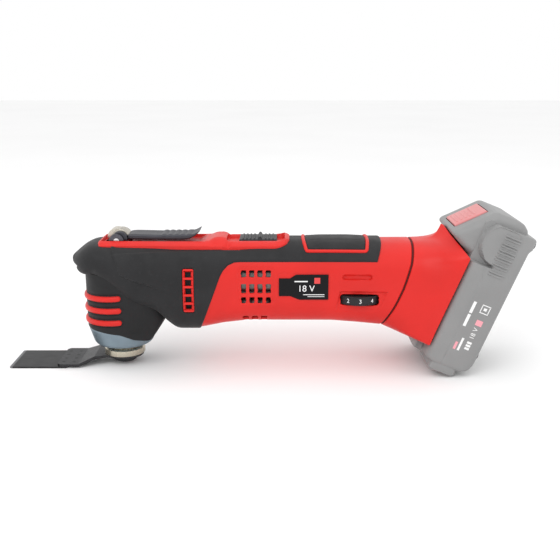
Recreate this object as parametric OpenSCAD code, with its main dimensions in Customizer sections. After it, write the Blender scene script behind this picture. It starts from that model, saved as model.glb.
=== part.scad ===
// Cordless oscillating multi-tool with a plunge-cut blade and a slide-on battery pack.
// The tool stands on its blade and on the lower edge of the pack. Millimetres, +Z up, +X towards the pack.
// Parts are drawn from the spindle's axis at table level, and place() moves them to the middle of the tool.

/* [Blade] */
// From the spindle's axis to the cutting edge
blade_reach = 80; // [70:1:95]
// Width of the cutting edge
blade_w = 34; // [20:1:34]
// Thickness of the saw plate
blade_t = 1.2; // [0.8:0.1:1.4]
// Number of teeth on the cutting edge
blade_teeth = 20; // [10:1:24]

/* [Drive] */
// Height of the motor's axis above the table
motor_z = 62.3; // [62:0.1:62.6]
// Throw of the eccentric on the motor's shaft
throw = 0.75; // [0.5:0.05:0.8]
// Radius of the motor's steel can
can_r = 21; // [20:0.1:21]
// Distance the draw bar moves down when the lever is opened
release_travel = 3.1; // [3.1:0.1:3.4]

/* [Housing] */
// Wall thickness of the plastic shells
wall = 2.5; // [2:0.1:2.8]
// How far the black parts stand proud of the red body
proud = 1; // [0.8:0.1:1.2]
// Half width of the top cover
cover_w = 17; // [16:0.5:17.5]

/* [Battery] */
// Lean of the pack from the vertical
tilt = 22; // [20:0.5:24]
// Half width of the pack and of the dock
pack_w = 36; // [35:0.5:38]
// Thickness of the pack's slab
pack_t = 38; // [37:0.5:39]
// Height of the slab above the dock's lower edge
pack_top = 95.5; // [94:0.5:97]

/* [Hidden] */
gap = 0.2;              // clearance between parts that don't move
seam = 0.06;            // half the gap between left and right shells
ring_z = 5.6;           // underside of the blade's mounting ring
ring_t = 1.8;
ring_r = 13.5;
flange_z = ring_z + ring_t + 0.05;
flange_r = 14.5;
pins = 12;              // drive pins on the flange
pin_circle = 10.8;
boot_r = 25;
cast_r = boot_r - wall - gap;
barrel_r = 19.3;        // gearbox barrel round the eccentric
pivot_z = 91.6;         // lever pivot
bar_top = pivot_z - 4.65; // top of the draw bar, just under the cam
spindle_top = 83.5;
roof_z = 81.5;          // underside of the casting above the upper bearing
cam_r = 6;
cam_throw = 2;
cover_base = 86.6;      // underside of the top cover
cover_top = 92.8;
recess_floor = 90.2;
cover_x0 = -13;
cover_x1 = 119.6;
pad_x = [129, 175];     // grip pad with its trim, along the handle
band_x = [76.4, 181];   // black grip band along the handle
band_z = 79.5;          // lower edge of the grip band
dial_x = 168;
dial_y = -13;
dial_z = 53;
dial_r = 16;
rail_w = 24;            // half width of the pack's rail block
rail_h = 9;
pack_drop = 13.2;       // pack's lower edge below the dock
pack_drop_v = 26;
dock_x = 214.2;
dock_z = pack_drop * cos(tilt) + pack_drop_v * sin(tilt);
dock_end = 68;          // length of the dock's mating face
slant = 0.547;          // rise of the dock's upper end towards its tip
tip_v = 19;             // depth of the dock's upper end
rear_reach = dock_x + pack_top * sin(tilt) + pack_t * cos(tilt);
spindle_x = (blade_reach - rear_reach) / 2;
red = [0.85, 0.16, 0.14];
black = [0.17, 0.17, 0.18];
pack_grey = [0.62, 0.62, 0.62];
steel = [0.7, 0.7, 0.72];
dark_steel = [0.25, 0.25, 0.26];
alloy = [0.66, 0.7, 0.74];

$fn = 48;

module place() translate([spindle_x, 0, 0]) children();
module side_on() rotate([90, 0, 0]) children();                      // drawn in X and Z
module along_x(x, z = motor_z) translate([x, 0, z]) rotate([0, 90, 0]) children();
module on_pack() place() translate([dock_x, 0, dock_z]) rotate([0, tilt, 0]) children();
module slab(x, y, z) translate([x[0], y[0], z[0]]) cube([x[1] - x[0], y[1] - y[0], z[1] - z[0]]);
module both_sides() for (s = [0, 1]) mirror([0, s, 0]) children();
module tube(r_out, r_in, h) rotate_extrude() translate([r_in, 0]) square([r_out - r_in, h]);
module profile_y(points, half_w) side_on() linear_extrude(2 * half_w, center = true) polygon(points);

// ---- The body's outer surface: superellipse sections along the handle ----
top_line = [[-32.5, 81.2], [-31.3, 82.4], [-25.8, 87.2], [-17.2, 91.4], [-13, 92], [20, 91.6], [60, 91.3], [204, 91]];
low_line = [[-32.5, 74], [-31.5, 69], [-30.5, 67.2], [-28.2, 65.9], [-24.6, 65.2], [-12, 64], [-8, 63], [5, 56], [18, 45],
            [30, 33.4], [37, 27], [56, 27], [73, 31], [90, 33.4], [150, 33.2], [166, 32], [187, 30], [204, 30]];
width_line = [[-32.5, 8], [-30, 14], [-26, 19.5], [-20, 23.5], [-13, 26.3], [0, 27.5], [30, 27], [90, 26], [150, 26],
              [187, 27.5], [204, 28.5]];
seam_line = [[30, 184], [38, 187], [49, 192.2], [62, 197.5], [79, 202.8], [91, 204.8]];
front_line = [[26, 53.5], [77, 73.5], [80, 76], [92, 76]];
power = 2.6;
function curve(t) = sign(t) * pow(abs(t), 2 / power);
function mid_z(x) = (lookup(x, top_line) + lookup(x, low_line)) / 2;
function half_h(x) = (lookup(x, top_line) - lookup(x, low_line)) / 2;
function skin_z(x, a, g) = mid_z(x) + (half_h(x) + g) * curve(sin(a));
function skin_y(x, a, g) = -max(seam, (lookup(x, width_line) + g) * curve(abs(cos(a))));
// a point of the surface at angle a, grown by g, on the line whose x is line(z)
function on_line(line, shift, a, g) =
    let (z0 = skin_z(lookup(60, line) + shift, a, 0), x = lookup(z0, line) + shift)
    [x, skin_y(x, a, g), skin_z(x, a, g)];
function on_ring(x, a, g) = [x, skin_y(x, a, g), skin_z(x, a, g)];
function angle_at(x, z) = asin(pow(min(1, max(0, (z - mid_z(x)) / half_h(x))), power / 2));

// rings is a list of closed loops of the same length
module loft(rings) {
    n = len(rings[0]);
    m = len(rings);
    side = [for (i = [0 : m - 2], j = [0 : n - 1]) let (k = (j + 1) % n)
        each [[i * n + j, i * n + k, (i + 1) * n + k], [i * n + j, (i + 1) * n + k, (i + 1) * n + j]]];
    // end caps join the loop's two halves, which run side by side
    cap = [for (j = [0 : n / 2 - 2]) each [[j, n - 1 - j, j + 1], [j + 1, n - 1 - j, n - 2 - j]]];
    far = [for (f = cap) [for (v = [2, 1, 0]) f[v] + (m - 1) * n]];
    polyhedron([for (r = rings) each r], concat(side, cap, far));
}

// a closed loop: outer points one way and inner points back
function wall_loop(outer, inner) = concat(outer, [for (i = [len(inner) - 1 : -1 : 0]) inner[i]]);
half_turn = [for (i = [0 : 18]) 10 * i - 90];
function shell_ring(x, g, t) =
    wall_loop([for (a = half_turn) on_ring(x, a, g)], [for (a = half_turn) on_ring(x, a, g - t)]);
function shell_line(line, shift, g, t) =
    wall_loop([for (a = half_turn) on_line(line, shift, a, g)],
              [for (a = half_turn) on_line(line, shift, a, g - t)]);
function mix(p, q, t) = [for (i = [0 : len(p) - 1]) p[i] * (1 - t) + q[i] * t];

// a patch of skin between x0 and x1, and between the angles low(x) and high, from g0 to g1 above the body
module skin_patch(xs, low, high, g0, g1, steps = 6) {
    loft([for (i = [0 : len(xs) - 1]) let (x = xs[i], a = [for (k = [0 : steps]) low[i] + (high[i] - low[i]) * k / steps])
        wall_loop([for (t = a) on_ring(x, t, g1)], [for (t = a) on_ring(x, t, g0)])]);
}
function steps_of(a, b, n) = [for (i = [0 : n]) a + (b - a) * i / n];
function edge_angle(x, y) = acos(pow(y / lookup(x, width_line), power / 2));

// ---- Blade and clamp ----
module saw_plate() place() color(dark_steel) {
    pitch = blade_w / blade_teeth;
    teeth = [for (i = [0 : blade_teeth - 1]) each
        [[-blade_reach + 1, -blade_w / 2 + i * pitch], [-blade_reach, -blade_w / 2 + (i + 0.5) * pitch]]];
    linear_extrude(blade_t) polygon(concat(teeth,
        [[-blade_reach + 1, blade_w / 2], [-40, blade_w / 2], [-38, blade_w / 2 - 2],
         [-38, 2 - blade_w / 2], [-40, -blade_w / 2]]));
}

module blade_holder() place() color(dark_steel) difference() {
    intersection() {
        profile_y([[-46, blade_t], [-30, blade_t], [-19, ring_z], [ring_r, ring_z],
                   [ring_r, ring_z + ring_t], [-20, ring_z + ring_t], [-31, blade_t + ring_t],
                   [-46, blade_t + ring_t]], 20);
        linear_extrude(20) {
            circle(ring_r, $fn = 64);
            polygon([[-46, -15], [-44, -17], [-31, -17], [-12, -10], [0, -12], [0, 12], [-12, 10],
                     [-31, 17], [-44, 17], [-46, 15]]);
        }
    }
    translate([0, 0, 2]) cylinder(r = 4, h = 10);
    for (i = [0 : pins - 1]) rotate(i * 360 / pins) translate([pin_circle, 0, 2]) cylinder(r = 1.05, h = 10, $fn = 24);
}

module clamp_bolt() place() color(steel) difference() {
    rotate_extrude() polygon([[0, 1.8], [8, 1.8], [8.8, 2.6], [8.8, ring_z - 0.05], [3.7, ring_z - 0.05],
                              [3.7, 31], [3.1, 32], [3.1, 34.5], [3.7, 35.5], [3.7, 37], [2.9, 38], [0, 38]]);
    translate([0, 0, 1]) cylinder(r = 2.9, h = 2.8, $fn = 6);
}

module spindle() place() color(steel) {
    rotate_extrude() polygon([[6.6, flange_z], [flange_r, flange_z], [flange_r, 11.4], [13.5, 12.4],
        [10, 12.4], [10, 19.5], [8.5, 19.5], [8.5, 50], [7.5, 50], [7.5, spindle_top], [5.4, spindle_top], [5.4, 62],
        [3.2, 62], [3.2, 44], [6.6, 44]]);
    for (i = [0 : pins - 1]) rotate(i * 360 / pins) translate([pin_circle, 0, flange_z - 1.5])
        cylinder(r = 0.9, h = 2, $fn = 24);
}

module rocker_fork() place() color(steel) translate([0, 0, motor_z - 6]) difference() {
    union() {
        cylinder(r = 12, h = 12);
        both_sides() slab([0, 28], [9.2, 13], [0, 12]);
    }
    translate([0, 0, -1]) cylinder(r = 7.55, h = 14);
    slab([12, 30], [-9.2, 9.2], [-1, 13]);
}

module draw_bar() place() color(steel) rotate_extrude() polygon([[0, bar_top], [5.2, bar_top],
    [5.2, bar_top - 4], [2.8, bar_top - 4], [2.8, 43.6], [6.4, 43.6], [6.4, 27], [5.4, 27], [5.4, 41.5], [0, 41.5]]);

// two half rings that close on the bolt's groove
module grip_jaws() place() color(dark_steel) both_sides() intersection() {
    translate([0, 0, 29]) tube(5.2, 4, 8);
    slab([-6, 6], [0.3, 6], [20, 50]);
}

module clamp_spring() place() color(steel) {
    discs = 8;
    pitch = (bar_top - 4.2 - 62.1) / discs;
    translate([0, 0, 62.1]) rotate_extrude() polygon(concat(
        [for (i = [0 : discs]) [i % 2 == 0 ? 5.2 : 4.2, i * pitch]],
        [for (i = [discs : -1 : 0]) [i % 2 == 0 ? 4.2 : 3.2, i * pitch]]));
}

// ---- Gearbox ----
// the outer form of the rubber boot, grown by g, with its waved lower edge
module boot_form(g, low = true) intersection() {
    union() {
        rotate_extrude($fn = 96) polygon([[0, 17], [22.2 + g, 17], [boot_r + g, 27], [boot_r + g, 66], [0, 66]]);
        intersection() {
            translate([0, 0, 17]) linear_extrude(49) {
                slab2([0, 12], [-22 - g, 22 + g]);
                translate([12, 0]) circle(22 + g, $fn = 96);
            }
            profile_y([[0, 17], [20 + g, 17], [37, 40 - g], [37, 66], [0, 66]], 30);
        }
    }
    profile_y(low ? [[-30, 29 - g], [-12, 28.6 - g], [-2, 27.6 - g], [8, 20 - g], [22, 18 - g], [40, 18 - g],
                     [40, 66], [-30, 66]] : [[-30, 17], [40, 17], [40, 66], [-30, 66]], 40);
}
module slab2(x, y) translate([x[0], y[0]]) square([x[1] - x[0], y[1] - y[0]]);

module gear_collar() place() color(alloy) difference() {
    rotate_extrude($fn = 96) polygon([[11.5, 15.6], [19.6, 15.6], [21, 17.4], [24.4, 27.4], [24.4, 31], [17.5, 31],
                                      [17.5, 17], [11.5, 17]]);
    boot_form(gap);
    translate([0, 0, 26]) cylinder(r = 21.6, h = 10, $fn = 96);
}
module gearbox_casting() place() color(alloy) difference() {
    union() {
        intersection() {
            boot_form(-wall - gap);
            translate([0, 0, 31]) cylinder(r = cast_r, h = 45, $fn = 96);
        }
        translate([0, 0, 26]) cylinder(r = 21.4, h = 40, $fn = 96);
        translate([0, 0, 65]) cylinder(r = 20.5, h = 19.5, $fn = 96);
        along_x(0) cylinder(r = barrel_r, h = 42, $fn = 96);
        both_sides() slab([-5, 5], [8.6, 11.6], [roof_z, pivot_z]);
        both_sides() translate([0, 11.6, pivot_z]) side_on() cylinder(r = 5, h = 3);
    }
    translate([0, 0, 16]) cylinder(r = 17.5, h = 14.2, $fn = 96);
    translate([0, 0, 30]) cylinder(r = 15.6, h = 2, $fn = 96);
    translate([0, 0, 31.5]) cylinder(r = 18.6, h = 39.5, $fn = 96);
    along_x(0) cylinder(r = 16.8, h = 32, $fn = 96);
    along_x(30) cylinder(r = 6.6, h = 20);
    along_x(33.8) cylinder(r = 9.55, h = 20);
    translate([0, 0, 70]) cylinder(r = 14.2, h = 2.2);
    translate([0, 0, 72]) cylinder(r = 16.05, h = roof_z - 72);
    translate([0, 0, 80]) cylinder(r = 8.2, h = 8);
    slab([-12, 12], [-8.6, 8.6], [roof_z, 100]);
    translate([0, 20, pivot_z]) side_on() cylinder(r = 2.05, h = 40);
}

// a ball bearing with its axis along Z, from its bore, outside and width
module ball_bearing(bore, out, h, balls) {
    ring = (out - bore) * 0.3;
    race = (bore + out) / 2;
    tube(bore + ring, bore, h);
    tube(out, out - ring, h);
    for (i = [0 : balls - 1]) rotate(i * 360 / balls) translate([race, 0, h / 2])
        sphere(r = (out - bore) * 0.19, $fn = 24);
}

module lower_spindle_bearing() place() color(steel) translate([0, 0, 20.1]) ball_bearing(8.58, 17.4, 9.8, 11);
module upper_spindle_bearing() place() color(steel) translate([0, 0, 72.4]) ball_bearing(7.58, 15.95, 9, 10);
module spindle_seal() place() color(black) translate([0, 0, 17.1]) tube(17.3, 10.2, 2.2);

module gearbox_boot() place() color(black) difference() {
    boot_form(0);
    boot_form(-wall, low = false);
    along_x(0) cylinder(r = barrel_r + gap, h = 60, $fn = 96);
    // seats of the red ribs
    rib_bands(0.15);
}

// three raised ribs round the front of the boot
module rib_bands(g) for (i = [0 : 2]) intersection() {
    translate([0, 0, 36.6 + 8.7 * i - g]) rotate_extrude($fn = 96)
        polygon([[boot_r - 1.2 - g, 0], [boot_r + 1, 0.6], [boot_r + 1.3, 2.3 + g], [boot_r + 1, 4 + 2 * g], [boot_r - 1.2 - g, 4.6 + 2 * g]]);
    slab([-40, 2.5 + g], [-40, 40], [20, 70]);
}
module nose_ribs() place() color(red) rib_bands(0);

// ---- Shells ----
cover_cut = [cover_w + gap + 0.1, cover_base - gap];
module cover_slot() slab([cover_x0 - 0.4, cover_x1 + 0.5], [-cover_cut[0], cover_cut[0]], [cover_cut[1], 110]);

// the left front shell, from the nose to the slanted line where the red housing starts
function pinched(x, k) = [for (a = half_turn) let (p = on_ring(-32.2, a, proud), m = mid_z(-32.2))
    [x, min(-seam, p[1] * k), m + (p[2] - m) * k]];
module front_half() difference() {
    xs = [-31.3, -28.5, -25, -20, -10, 0, 10, 20, 30, 36, 42];
    tip = wall_loop(pinched(-33, 0.1), pinched(-33 + wall, 0.05));
    first = shell_ring(-32.2, proud, wall);
    last = shell_line(front_line, -gap, proud, wall + proud);
    start = shell_ring(44, proud, wall + proud);
    loft(concat([tip, first], [for (x = xs) shell_ring(x, proud, wall + proud)],
                [start], [for (t = [0.33, 0.66]) mix(start, last, t)], [last]));
    boot_form(0.3, low = false);
    translate([0, 0, 40]) cylinder(r = boot_r + 0.3, h = 26.5, $fn = 96);
    translate([0, 0, 40]) cylinder(r = 20.9, h = 32, $fn = 96);
    cover_slot();
    vent_window(0.2);
}
module vent_window(g) slab([45.5 - g, 55.4 + g], [-40, -20], [43.5 - g, 76.8 + g]);
module front_shell_left() place() color(black) front_half();
module front_shell_right() place() color(black) mirror([0, 1, 0]) front_half();

// red ladder set into the shell's side, with five slots
module side_vent() difference() {
    intersection() {
        loft([for (x = [45.5, 50.5, 55.4]) shell_ring(x, proud + 0.5, wall + proud + 0.5)]);
        slab([45, 56], [-40, -20], [43.5, 76.8]);
    }
    for (i = [0 : 4]) slab([47.6, 53.3], [-40, -10], [46 + 6.1 * i, 49.9 + 6.1 * i]);
}
module side_vent_left() place() color(red) side_vent();
module side_vent_right() place() color(red) mirror([0, 1, 0]) side_vent();

vent_rows = [[50.6, 55.2], [57.8, 64.8], [69.4, 74.4]];
// along the handle, height, and length of each screw boss
bosses = [[118, 40, 14], [148, 40, 14], [176, 41, 18.5], [156, 84, 14], [190, 80, 19]];
module housing_half() difference() {
    union() {
        start = shell_line(front_line, gap, 0, wall);
        finish = shell_line(seam_line, -gap, 0, wall);
        front = shell_ring(92, 0, wall);
        rear = shell_ring(176, 0, wall);
        loft(concat([start], [for (t = [0.4, 0.75]) mix(start, front, t)],
                    [for (x = [92, 110, 130, 150, 164, 176]) shell_ring(x, 0, wall)],
                    [for (t = [0.5]) mix(rear, finish, t)], [finish]));
        for (p = bosses) translate([p[0], -seam, p[1]]) side_on() cylinder(r = 3.4, h = p[2], $fn = 24);
    }
    slab([70, cover_x1 + 0.5], [-cover_cut[0], cover_cut[0]], [cover_cut[1], 110]);
    for (i = [0 : 3], row = vent_rows) slab([86.35 + 5.65 * i, 89.95 + 5.65 * i], [-40, -18], row);
    for (i = [0 : 2]) slab([87 + 6.4 * i, 91.4 + 6.4 * i], [-20, -8], [20, 44]);
}
module housing_left() place() color(red) difference() {
    housing_half();
    for (p = bosses) translate([p[0], 1, p[1]]) side_on() cylinder(r = 1.3, h = p[2] - 1, $fn = 24);
    slab([dial_x - 13.2, dial_x + 13.2], [-40, -10], [dial_z - 4, dial_z + 4]);
}
module housing_right() place() color(red) mirror([0, 1, 0]) difference() {
    housing_half();
    for (p = bosses) translate([p[0], 1, p[1]]) side_on() {
        cylinder(r = 1.7, h = 40, $fn = 24);
        translate([0, 0, p[2] - 2]) cylinder(r = 3, h = 40, $fn = 24);
    }
}

module housing_screws() place() color(dark_steel) for (p = bosses) translate([p[0], 0, p[1]]) rotate([-90, 0, 0])
    difference() {
        union() {
            translate([0, 0, -11]) cylinder(r = 1.25, h = p[2] + 9, $fn = 24);
            translate([0, 0, p[2] - 2.8]) cylinder(r = 2.7, h = 2, $fn = 24);
        }
        translate([0, 0, p[2] - 1.8]) cylinder(r = 1.2, h = 2, $fn = 6);
    }

// black skins over the housing's shoulders and across its top
module band_side() {
    xs = steps_of(band_x[0], band_x[1], 9);
    skin_patch(xs, [for (x = xs) angle_at(x, band_z)], [for (x = xs) edge_angle(x, cover_w + 0.8)], 0.15, proud);
}
module top_patch(x0, x1, y, g0, g1) both_sides() {
    xs = steps_of(x0, x1, 2);
    skin_patch(xs, [for (x = xs) edge_angle(x, y)], [90, 90, 90], g0, g1);
}
module grip_band() place() color(black) {
    both_sides() band_side();
    top_patch(cover_x1 + 1, pad_x[0] - gap, cover_w + 0.5, 0.15, proud);
    top_patch(pad_x[1] + gap, band_x[1], cover_w + 0.5, 0.15, proud);
}
module pad_trim() place() color(red) {
    for (x = [pad_x[0], pad_x[1] - 1.6]) top_patch(x, x + 1.6, cover_w + 0.5, 0.15, proud + 0.2);
    xs = steps_of(pad_x[0] + 1.7, pad_x[1] - 1.7, 4);
    both_sides() skin_patch(xs, [for (x = xs) edge_angle(x, cover_w + 0.5)], [for (x = xs) edge_angle(x, cover_w - 1)],
                            0.15, proud + 0.2, 2);
}
module grip_pad() place() color(black) top_patch(pad_x[0] + 1.9, pad_x[1] - 1.9, cover_w - 1.3, 0.15, 2.2);

module name_plate() {
    outline = [[112, 54.5], [121, 54.5], [125, 52.6], [146, 52.6], [146, 71.2], [125, 71.2], [121, 69.4], [112, 69.4]];
    intersection() {
        skin_patch(steps_of(110, 148, 3), [-25, -25, -25, -25], [45, 45, 45, 45], 0.1, 0.7, 8);
        profile_y(outline, 40);
    }
}
module name_plate_left() place() color(black) name_plate();
module name_plate_right() place() color(black) mirror([0, 1, 0]) name_plate();

// ---- Top cover, lever and switch ----
module top_cover() place() color(red) difference() {
    intersection() {
        profile_y([[cover_x0, cover_base], [cover_x1 - 6, cover_base], [cover_x1, 90], [cover_x1, cover_top - 0.6],
                   [cover_x1 - 2, cover_top], [cover_x0 + 4, cover_top], [cover_x0, 90.6]], 20);
        translate([-20, 0, 0]) rotate([90, 0, 90]) linear_extrude(150)
            polygon([[-cover_w, cover_base], [cover_w, cover_base], [cover_w, 88.4], [16, 90.3], [13.4, 92],
                     [10.5, cover_top], [-10.5, cover_top], [-13.4, 92], [-16, 90.3], [-cover_w, 88.4]]);
    }
    // lever well with a sloping finger ramp, and the cam's opening
    profile_y([[-10, recess_floor], [57, recess_floor], [67, cover_top + 1], [-10, cover_top + 1]], 12);
    slab([-9, 9], [-12, 12], [80, 100]);
    // switch well and the slot for the rod's post
    profile_y([[77, recess_floor + 0.2], [115, recess_floor + 0.2], [117, cover_top + 1], [75, cover_top + 1]], 10.5);
    slab([85, 104], [-3, 3], [80, 100]);
}

cam_centre = [cam_throw * cos(130), pivot_z + cam_throw * sin(130)];
module release_lever() place() color(black) difference() {
    low = pivot_z + 0.8;
    top = pivot_z + 4.9;
    union() {
        both_sides() translate([cam_centre[0], 8.2, cam_centre[1]]) side_on() cylinder(r = cam_r, h = 3.6);
        both_sides() intersection() {
            profile_y([[0, low], [14, low], [14, top], [0, top + 0.4]], 20);
            slab([0, 20], [4.6, 8.2], [80, 100]);
        }
        profile_y([[9.5, low], [48, low], [57.5, top + 0.6], [57, top + 2], [47, top], [9.5, top]], 9);
        for (i = [0 : 4]) slab([29 + 4.4 * i, 31 + 4.4 * i], [-8, 8], [top - 0.5, top + 0.8]);
    }
    translate([0, 20, pivot_z]) side_on() cylinder(r = 2.08, h = 40);
}
module lever_cam() place() color(steel) difference() {
    translate([cam_centre[0], 4.4, cam_centre[1]]) side_on() cylinder(r = cam_r, h = 8.8, $fn = 64);
    translate([0, 20, pivot_z]) side_on() cylinder(r = 2.08, h = 40);
}
module lever_pin() place() color(steel) translate([0, 11.6, pivot_z]) side_on() cylinder(r = 2, h = 23.2);

module switch_slider() place() color(black) {
    floor_z = recess_floor + 0.6;
    top = 92.8;
    slab([84.8, 111], [-9.5, 9.5], [floor_z, top]);
    for (i = [0 : 3]) slab([86.5 + 2.6 * i, 88 + 2.6 * i], [-8.5, 8.5], [top - 0.2, top + 0.7]);
    profile_y([[97, top - 0.2], [98.2, top + 1.6], [100, top + 1.6], [101.5, top - 0.2]], 8.5);
    for (i = [0 : 2]) slab([103.5 + 2.4 * i, 104.8 + 2.4 * i], [-8.5, 8.5], [top - 0.2, top + 0.6]);
    slab([95, 101], [-2.6, 2.6], [86.2, floor_z + 0.1]);
}
module switch_rod() place() color(black) {
    slab([93, 126], [-4, 4], [84.2, 86.2]);
    slab([122, 126], [-4, 4], [80.5, 84.4]);
}
module power_switch() place() color(black) {
    slab([127, 147], [-7, 7], [66, 81]);
    slab([128, 132], [-2, 2], [80.5, 83]);
}

module speed_dial() place() color(black) translate([dial_x, dial_y, dial_z - 3.2]) difference() {
    cylinder(r = dial_r, h = 6.4, $fn = 96);
    for (i = [0 : 35]) rotate(10 * i) translate([dial_r + 0.5, 0, -1]) cylinder(r = 0.9, h = 10, $fn = 24);
    translate([0, 0, -1]) cylinder(r = 1.55, h = 10, $fn = 24);
}
module speed_board() place() color([0.1, 0.35, 0.2]) {
    slab([dial_x - 12, dial_x + 12], [-20, 6], [46.2, 47.6]);
    translate([dial_x, dial_y, 47.4]) cylinder(r = 6, h = 2);
    translate([dial_x, dial_y, 47.4]) cylinder(r = 1.45, h = 8, $fn = 24);
}
module motor_controller() place() color(black) difference() {
    slab([123, 152], [-18, 18], [44, 58]);
    slab([125, 150], [-16, 16], [46, 59]);
}

// ---- Motor ----
module motor_can() place() color(steel) along_x(57) difference() {
    cylinder(r = can_r, h = 53, $fn = 96);
    translate([0, 0, 1.6]) cylinder(r = can_r - 1.3, h = 60, $fn = 96);
    translate([0, 0, -1]) cylinder(r = 6.5, h = 5);
    for (i = [0 : 3]) rotate(45 + 90 * i) translate([13, 0, -1]) cylinder(r = 2.6, h = 5, $fn = 24);
}
module motor_magnets() place() color(dark_steel) both_sides() intersection() {
    along_x(63) tube(can_r - 1.5, 15.8, 40);
    slab([60, 110], [5, 30], [30, 90]);
}
module motor_end_cap() place() color(black) along_x(110.2) difference() {
    union() {
        cylinder(r = can_r, h = 3, $fn = 96);
        cylinder(r = 8, h = 7);
    }
    translate([0, 0, -1]) cylinder(r = 2.56, h = 12);
}
module motor_brushes() place() color(dark_steel) for (s = [-1, 1])
    slab([103.6, 108.4], [-2.6, 2.6], s > 0 ? [motor_z + 6.9, motor_z + 13] : [motor_z - 13, motor_z - 6.9]);
module motor_shaft() place() color(steel) {
    along_x(41) cylinder(r = 2.5, h = 77);
    along_x(30) cylinder(r = 3.45, h = 11.2);
    along_x(20.4, motor_z + throw) cylinder(r = 2.6, h = 8);
    along_x(28) cylinder(r = 4.6, h = 2.2);
    // counterweight opposite the throw
    intersection() {
        along_x(28) cylinder(r = 6, h = 1.6);
        slab([27, 31], [-10, 10], [40, motor_z]);
    }
}
module armature() place() color(dark_steel) {
    along_x(66) difference() {
        cylinder(r = 15, h = 34, $fn = 64);
        translate([0, 0, -1]) cylinder(r = 2.55, h = 40);
        for (i = [0 : 4]) rotate(72 * i) translate([9, -1, -1]) cube([8, 2, 40]);
    }
    for (x = [61.5, 100.2]) along_x(x) tube(x < 80 ? 12.5 : 11.5, 5, x < 80 ? 4.4 : 2);
}
module commutator() place() color([0.72, 0.45, 0.25]) along_x(102.8) difference() {
    cylinder(r = 6.6, h = 6.6);
    translate([0, 0, -1]) cylinder(r = 2.55, h = 12);
    for (i = [0 : 4]) rotate(72 * i + 36) translate([4.5, -0.3, -1]) cube([4, 0.6, 12]);
}
module cooling_fan() place() color(black) along_x(45.5) {
    difference() {
        union() {
            cylinder(r = 6.5, h = 8);
            cylinder(r = 19, h = 1.4, $fn = 64);
            for (i = [0 : 8]) rotate(40 * i) translate([6, -0.7, 1]) cube([13, 1.4, 7]);
        }
        translate([0, 0, -1]) cylinder(r = 2.55, h = 12);
    }
}
module eccentric_bearing() place() color(steel) along_x(21.6, motor_z + throw) ball_bearing(2.65, 7.5, 5, 7);
module front_motor_bearing() place() color(steel) along_x(34) ball_bearing(3.5, 9.5, 6, 8);

// ---- Dock and battery pack, in the pack's own frame: x is depth v, z is height u along the pack ----
function dock_point(v, y, u) = [dock_x + v * cos(tilt) + u * sin(tilt), y, dock_z - v * sin(tilt) + u * cos(tilt)];
// the dock's mating rim for a section angle: bottom edge, straight side, slanted top
function rim_point(a, t) =
    let (s = (a + 90) / 180, low = 0.22, high = 0.7,
         k = max(0, (s - high) / (1 - high)),
         y = -max(seam, (pack_w - t) * min(1, 1.2 * pow(abs(cos(a)), 0.35), 1 - pow(k, 1.5))),
         u = s < low ? t + 3 * pow(s / low, 2)
           : s < high ? t + 3 + (dock_end - t - 3) * (s - low) / (high - low)
           : dock_end + (slant * tip_v - t) * k)
    dock_point(-tip_v * k, y, u);
function rim_ring(t0, t1) = wall_loop([for (a = half_turn) rim_point(a, t0)], [for (a = half_turn) rim_point(a, t1)]);
function eased(p, q, k) = [for (i = [0 : len(p) - 1]) [for (c = [0 : 2]) p[i][c] * (1 - k[c]) + q[i][c] * k[c]]];

module dock_half() {
    start = shell_line(seam_line, gap, 0, wall);
    rim = rim_ring(0, wall);
    steps = [[0.3, 0.12, 0.03], [0.55, 0.4, 0.12], [0.74, 0.85, 0.4], [0.88, 1, 0.8]];
    loft(concat([start], [for (k = steps) eased(start, rim, k)], [rim]));
}
// channel for the pack's neck and rails, and room for the latch's tooth
module rail_channel() on_pack() {
    slab([-5, 1], [-21.5, 21.5], [-15, dock_end + 9]);
    slab([-9.6, -4.6], [-rail_w - 0.4, rail_w + 0.4], [-15, dock_end + 9]);
    slab([-14, -4], [-6.5, 6.5], [40, dock_end + 10]);
}
module battery_dock() color(red) difference() {
    place() both_sides() dock_half();
    rail_channel();
}
module dock_plate() color(red) difference() {
    on_pack() slab([-4.6, -0.4], [-33.2, 33.2], [5.6, dock_end - 2]);
    rail_channel();
}
module terminal_block() on_pack() color(black) slab([-16, -rail_h - 0.7], [-17, 17], [6, 26]);
module terminal_blades() on_pack() color([0.78, 0.6, 0.3]) for (y = [-14, -5, 5, 14])
    slab([-rail_h - 0.5, -2.6], [y - 0.4, y + 0.4], [8, 22]);

case_split = 13;
slab_side = [[0.3, -4], [1, -6], [6, -8], [6, -pack_drop], [pack_drop_v, -pack_drop], [pack_drop_v, -8], [31, -7.4],
             [34.5, -5], [36.4, -1], [36.4, 85], [pack_t, 88], [pack_t, pack_top], [0.3, pack_top]];
cavity_side = [[2.5, -3.6], [33.5, -3.6], [34.2, -1], [34.2, 85], [34.2, pack_top - 2.3], [2.5, pack_top - 2.3]];
hump_side = [[0.3, 68.9], [-14.6, 77.1], [-15.2, 78.6], [-14.3, 80.8], [4.8, 101.2], [7.5, 102.3], [27, 102.3],
             [33, 100], [36.4, 95.4], [36.4, 80], [0.3, 80]];
hump_cavity = [[2.5, 72], [-11.4, 79.4], [6, 98.6], [9, 99.6], [25, 99.6], [31, 97.5], [33, 94], [33, 82], [2.5, 82]];
module cased(points, half_w) rotate([90, 0, 0]) linear_extrude(2 * half_w, center = true) polygon(points);
module pack_solid() difference() {
    union() {
        cased(slab_side, pack_w);
        cased(hump_side, 30);
    }
    cased(cavity_side, pack_w - 2.2);
    cased(hump_cavity, 27);
    latch_room();
    for (u = screw_rows) screw_pair(u, 1, 9, 40);
}
screw_rows = [2, 88];
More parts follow.
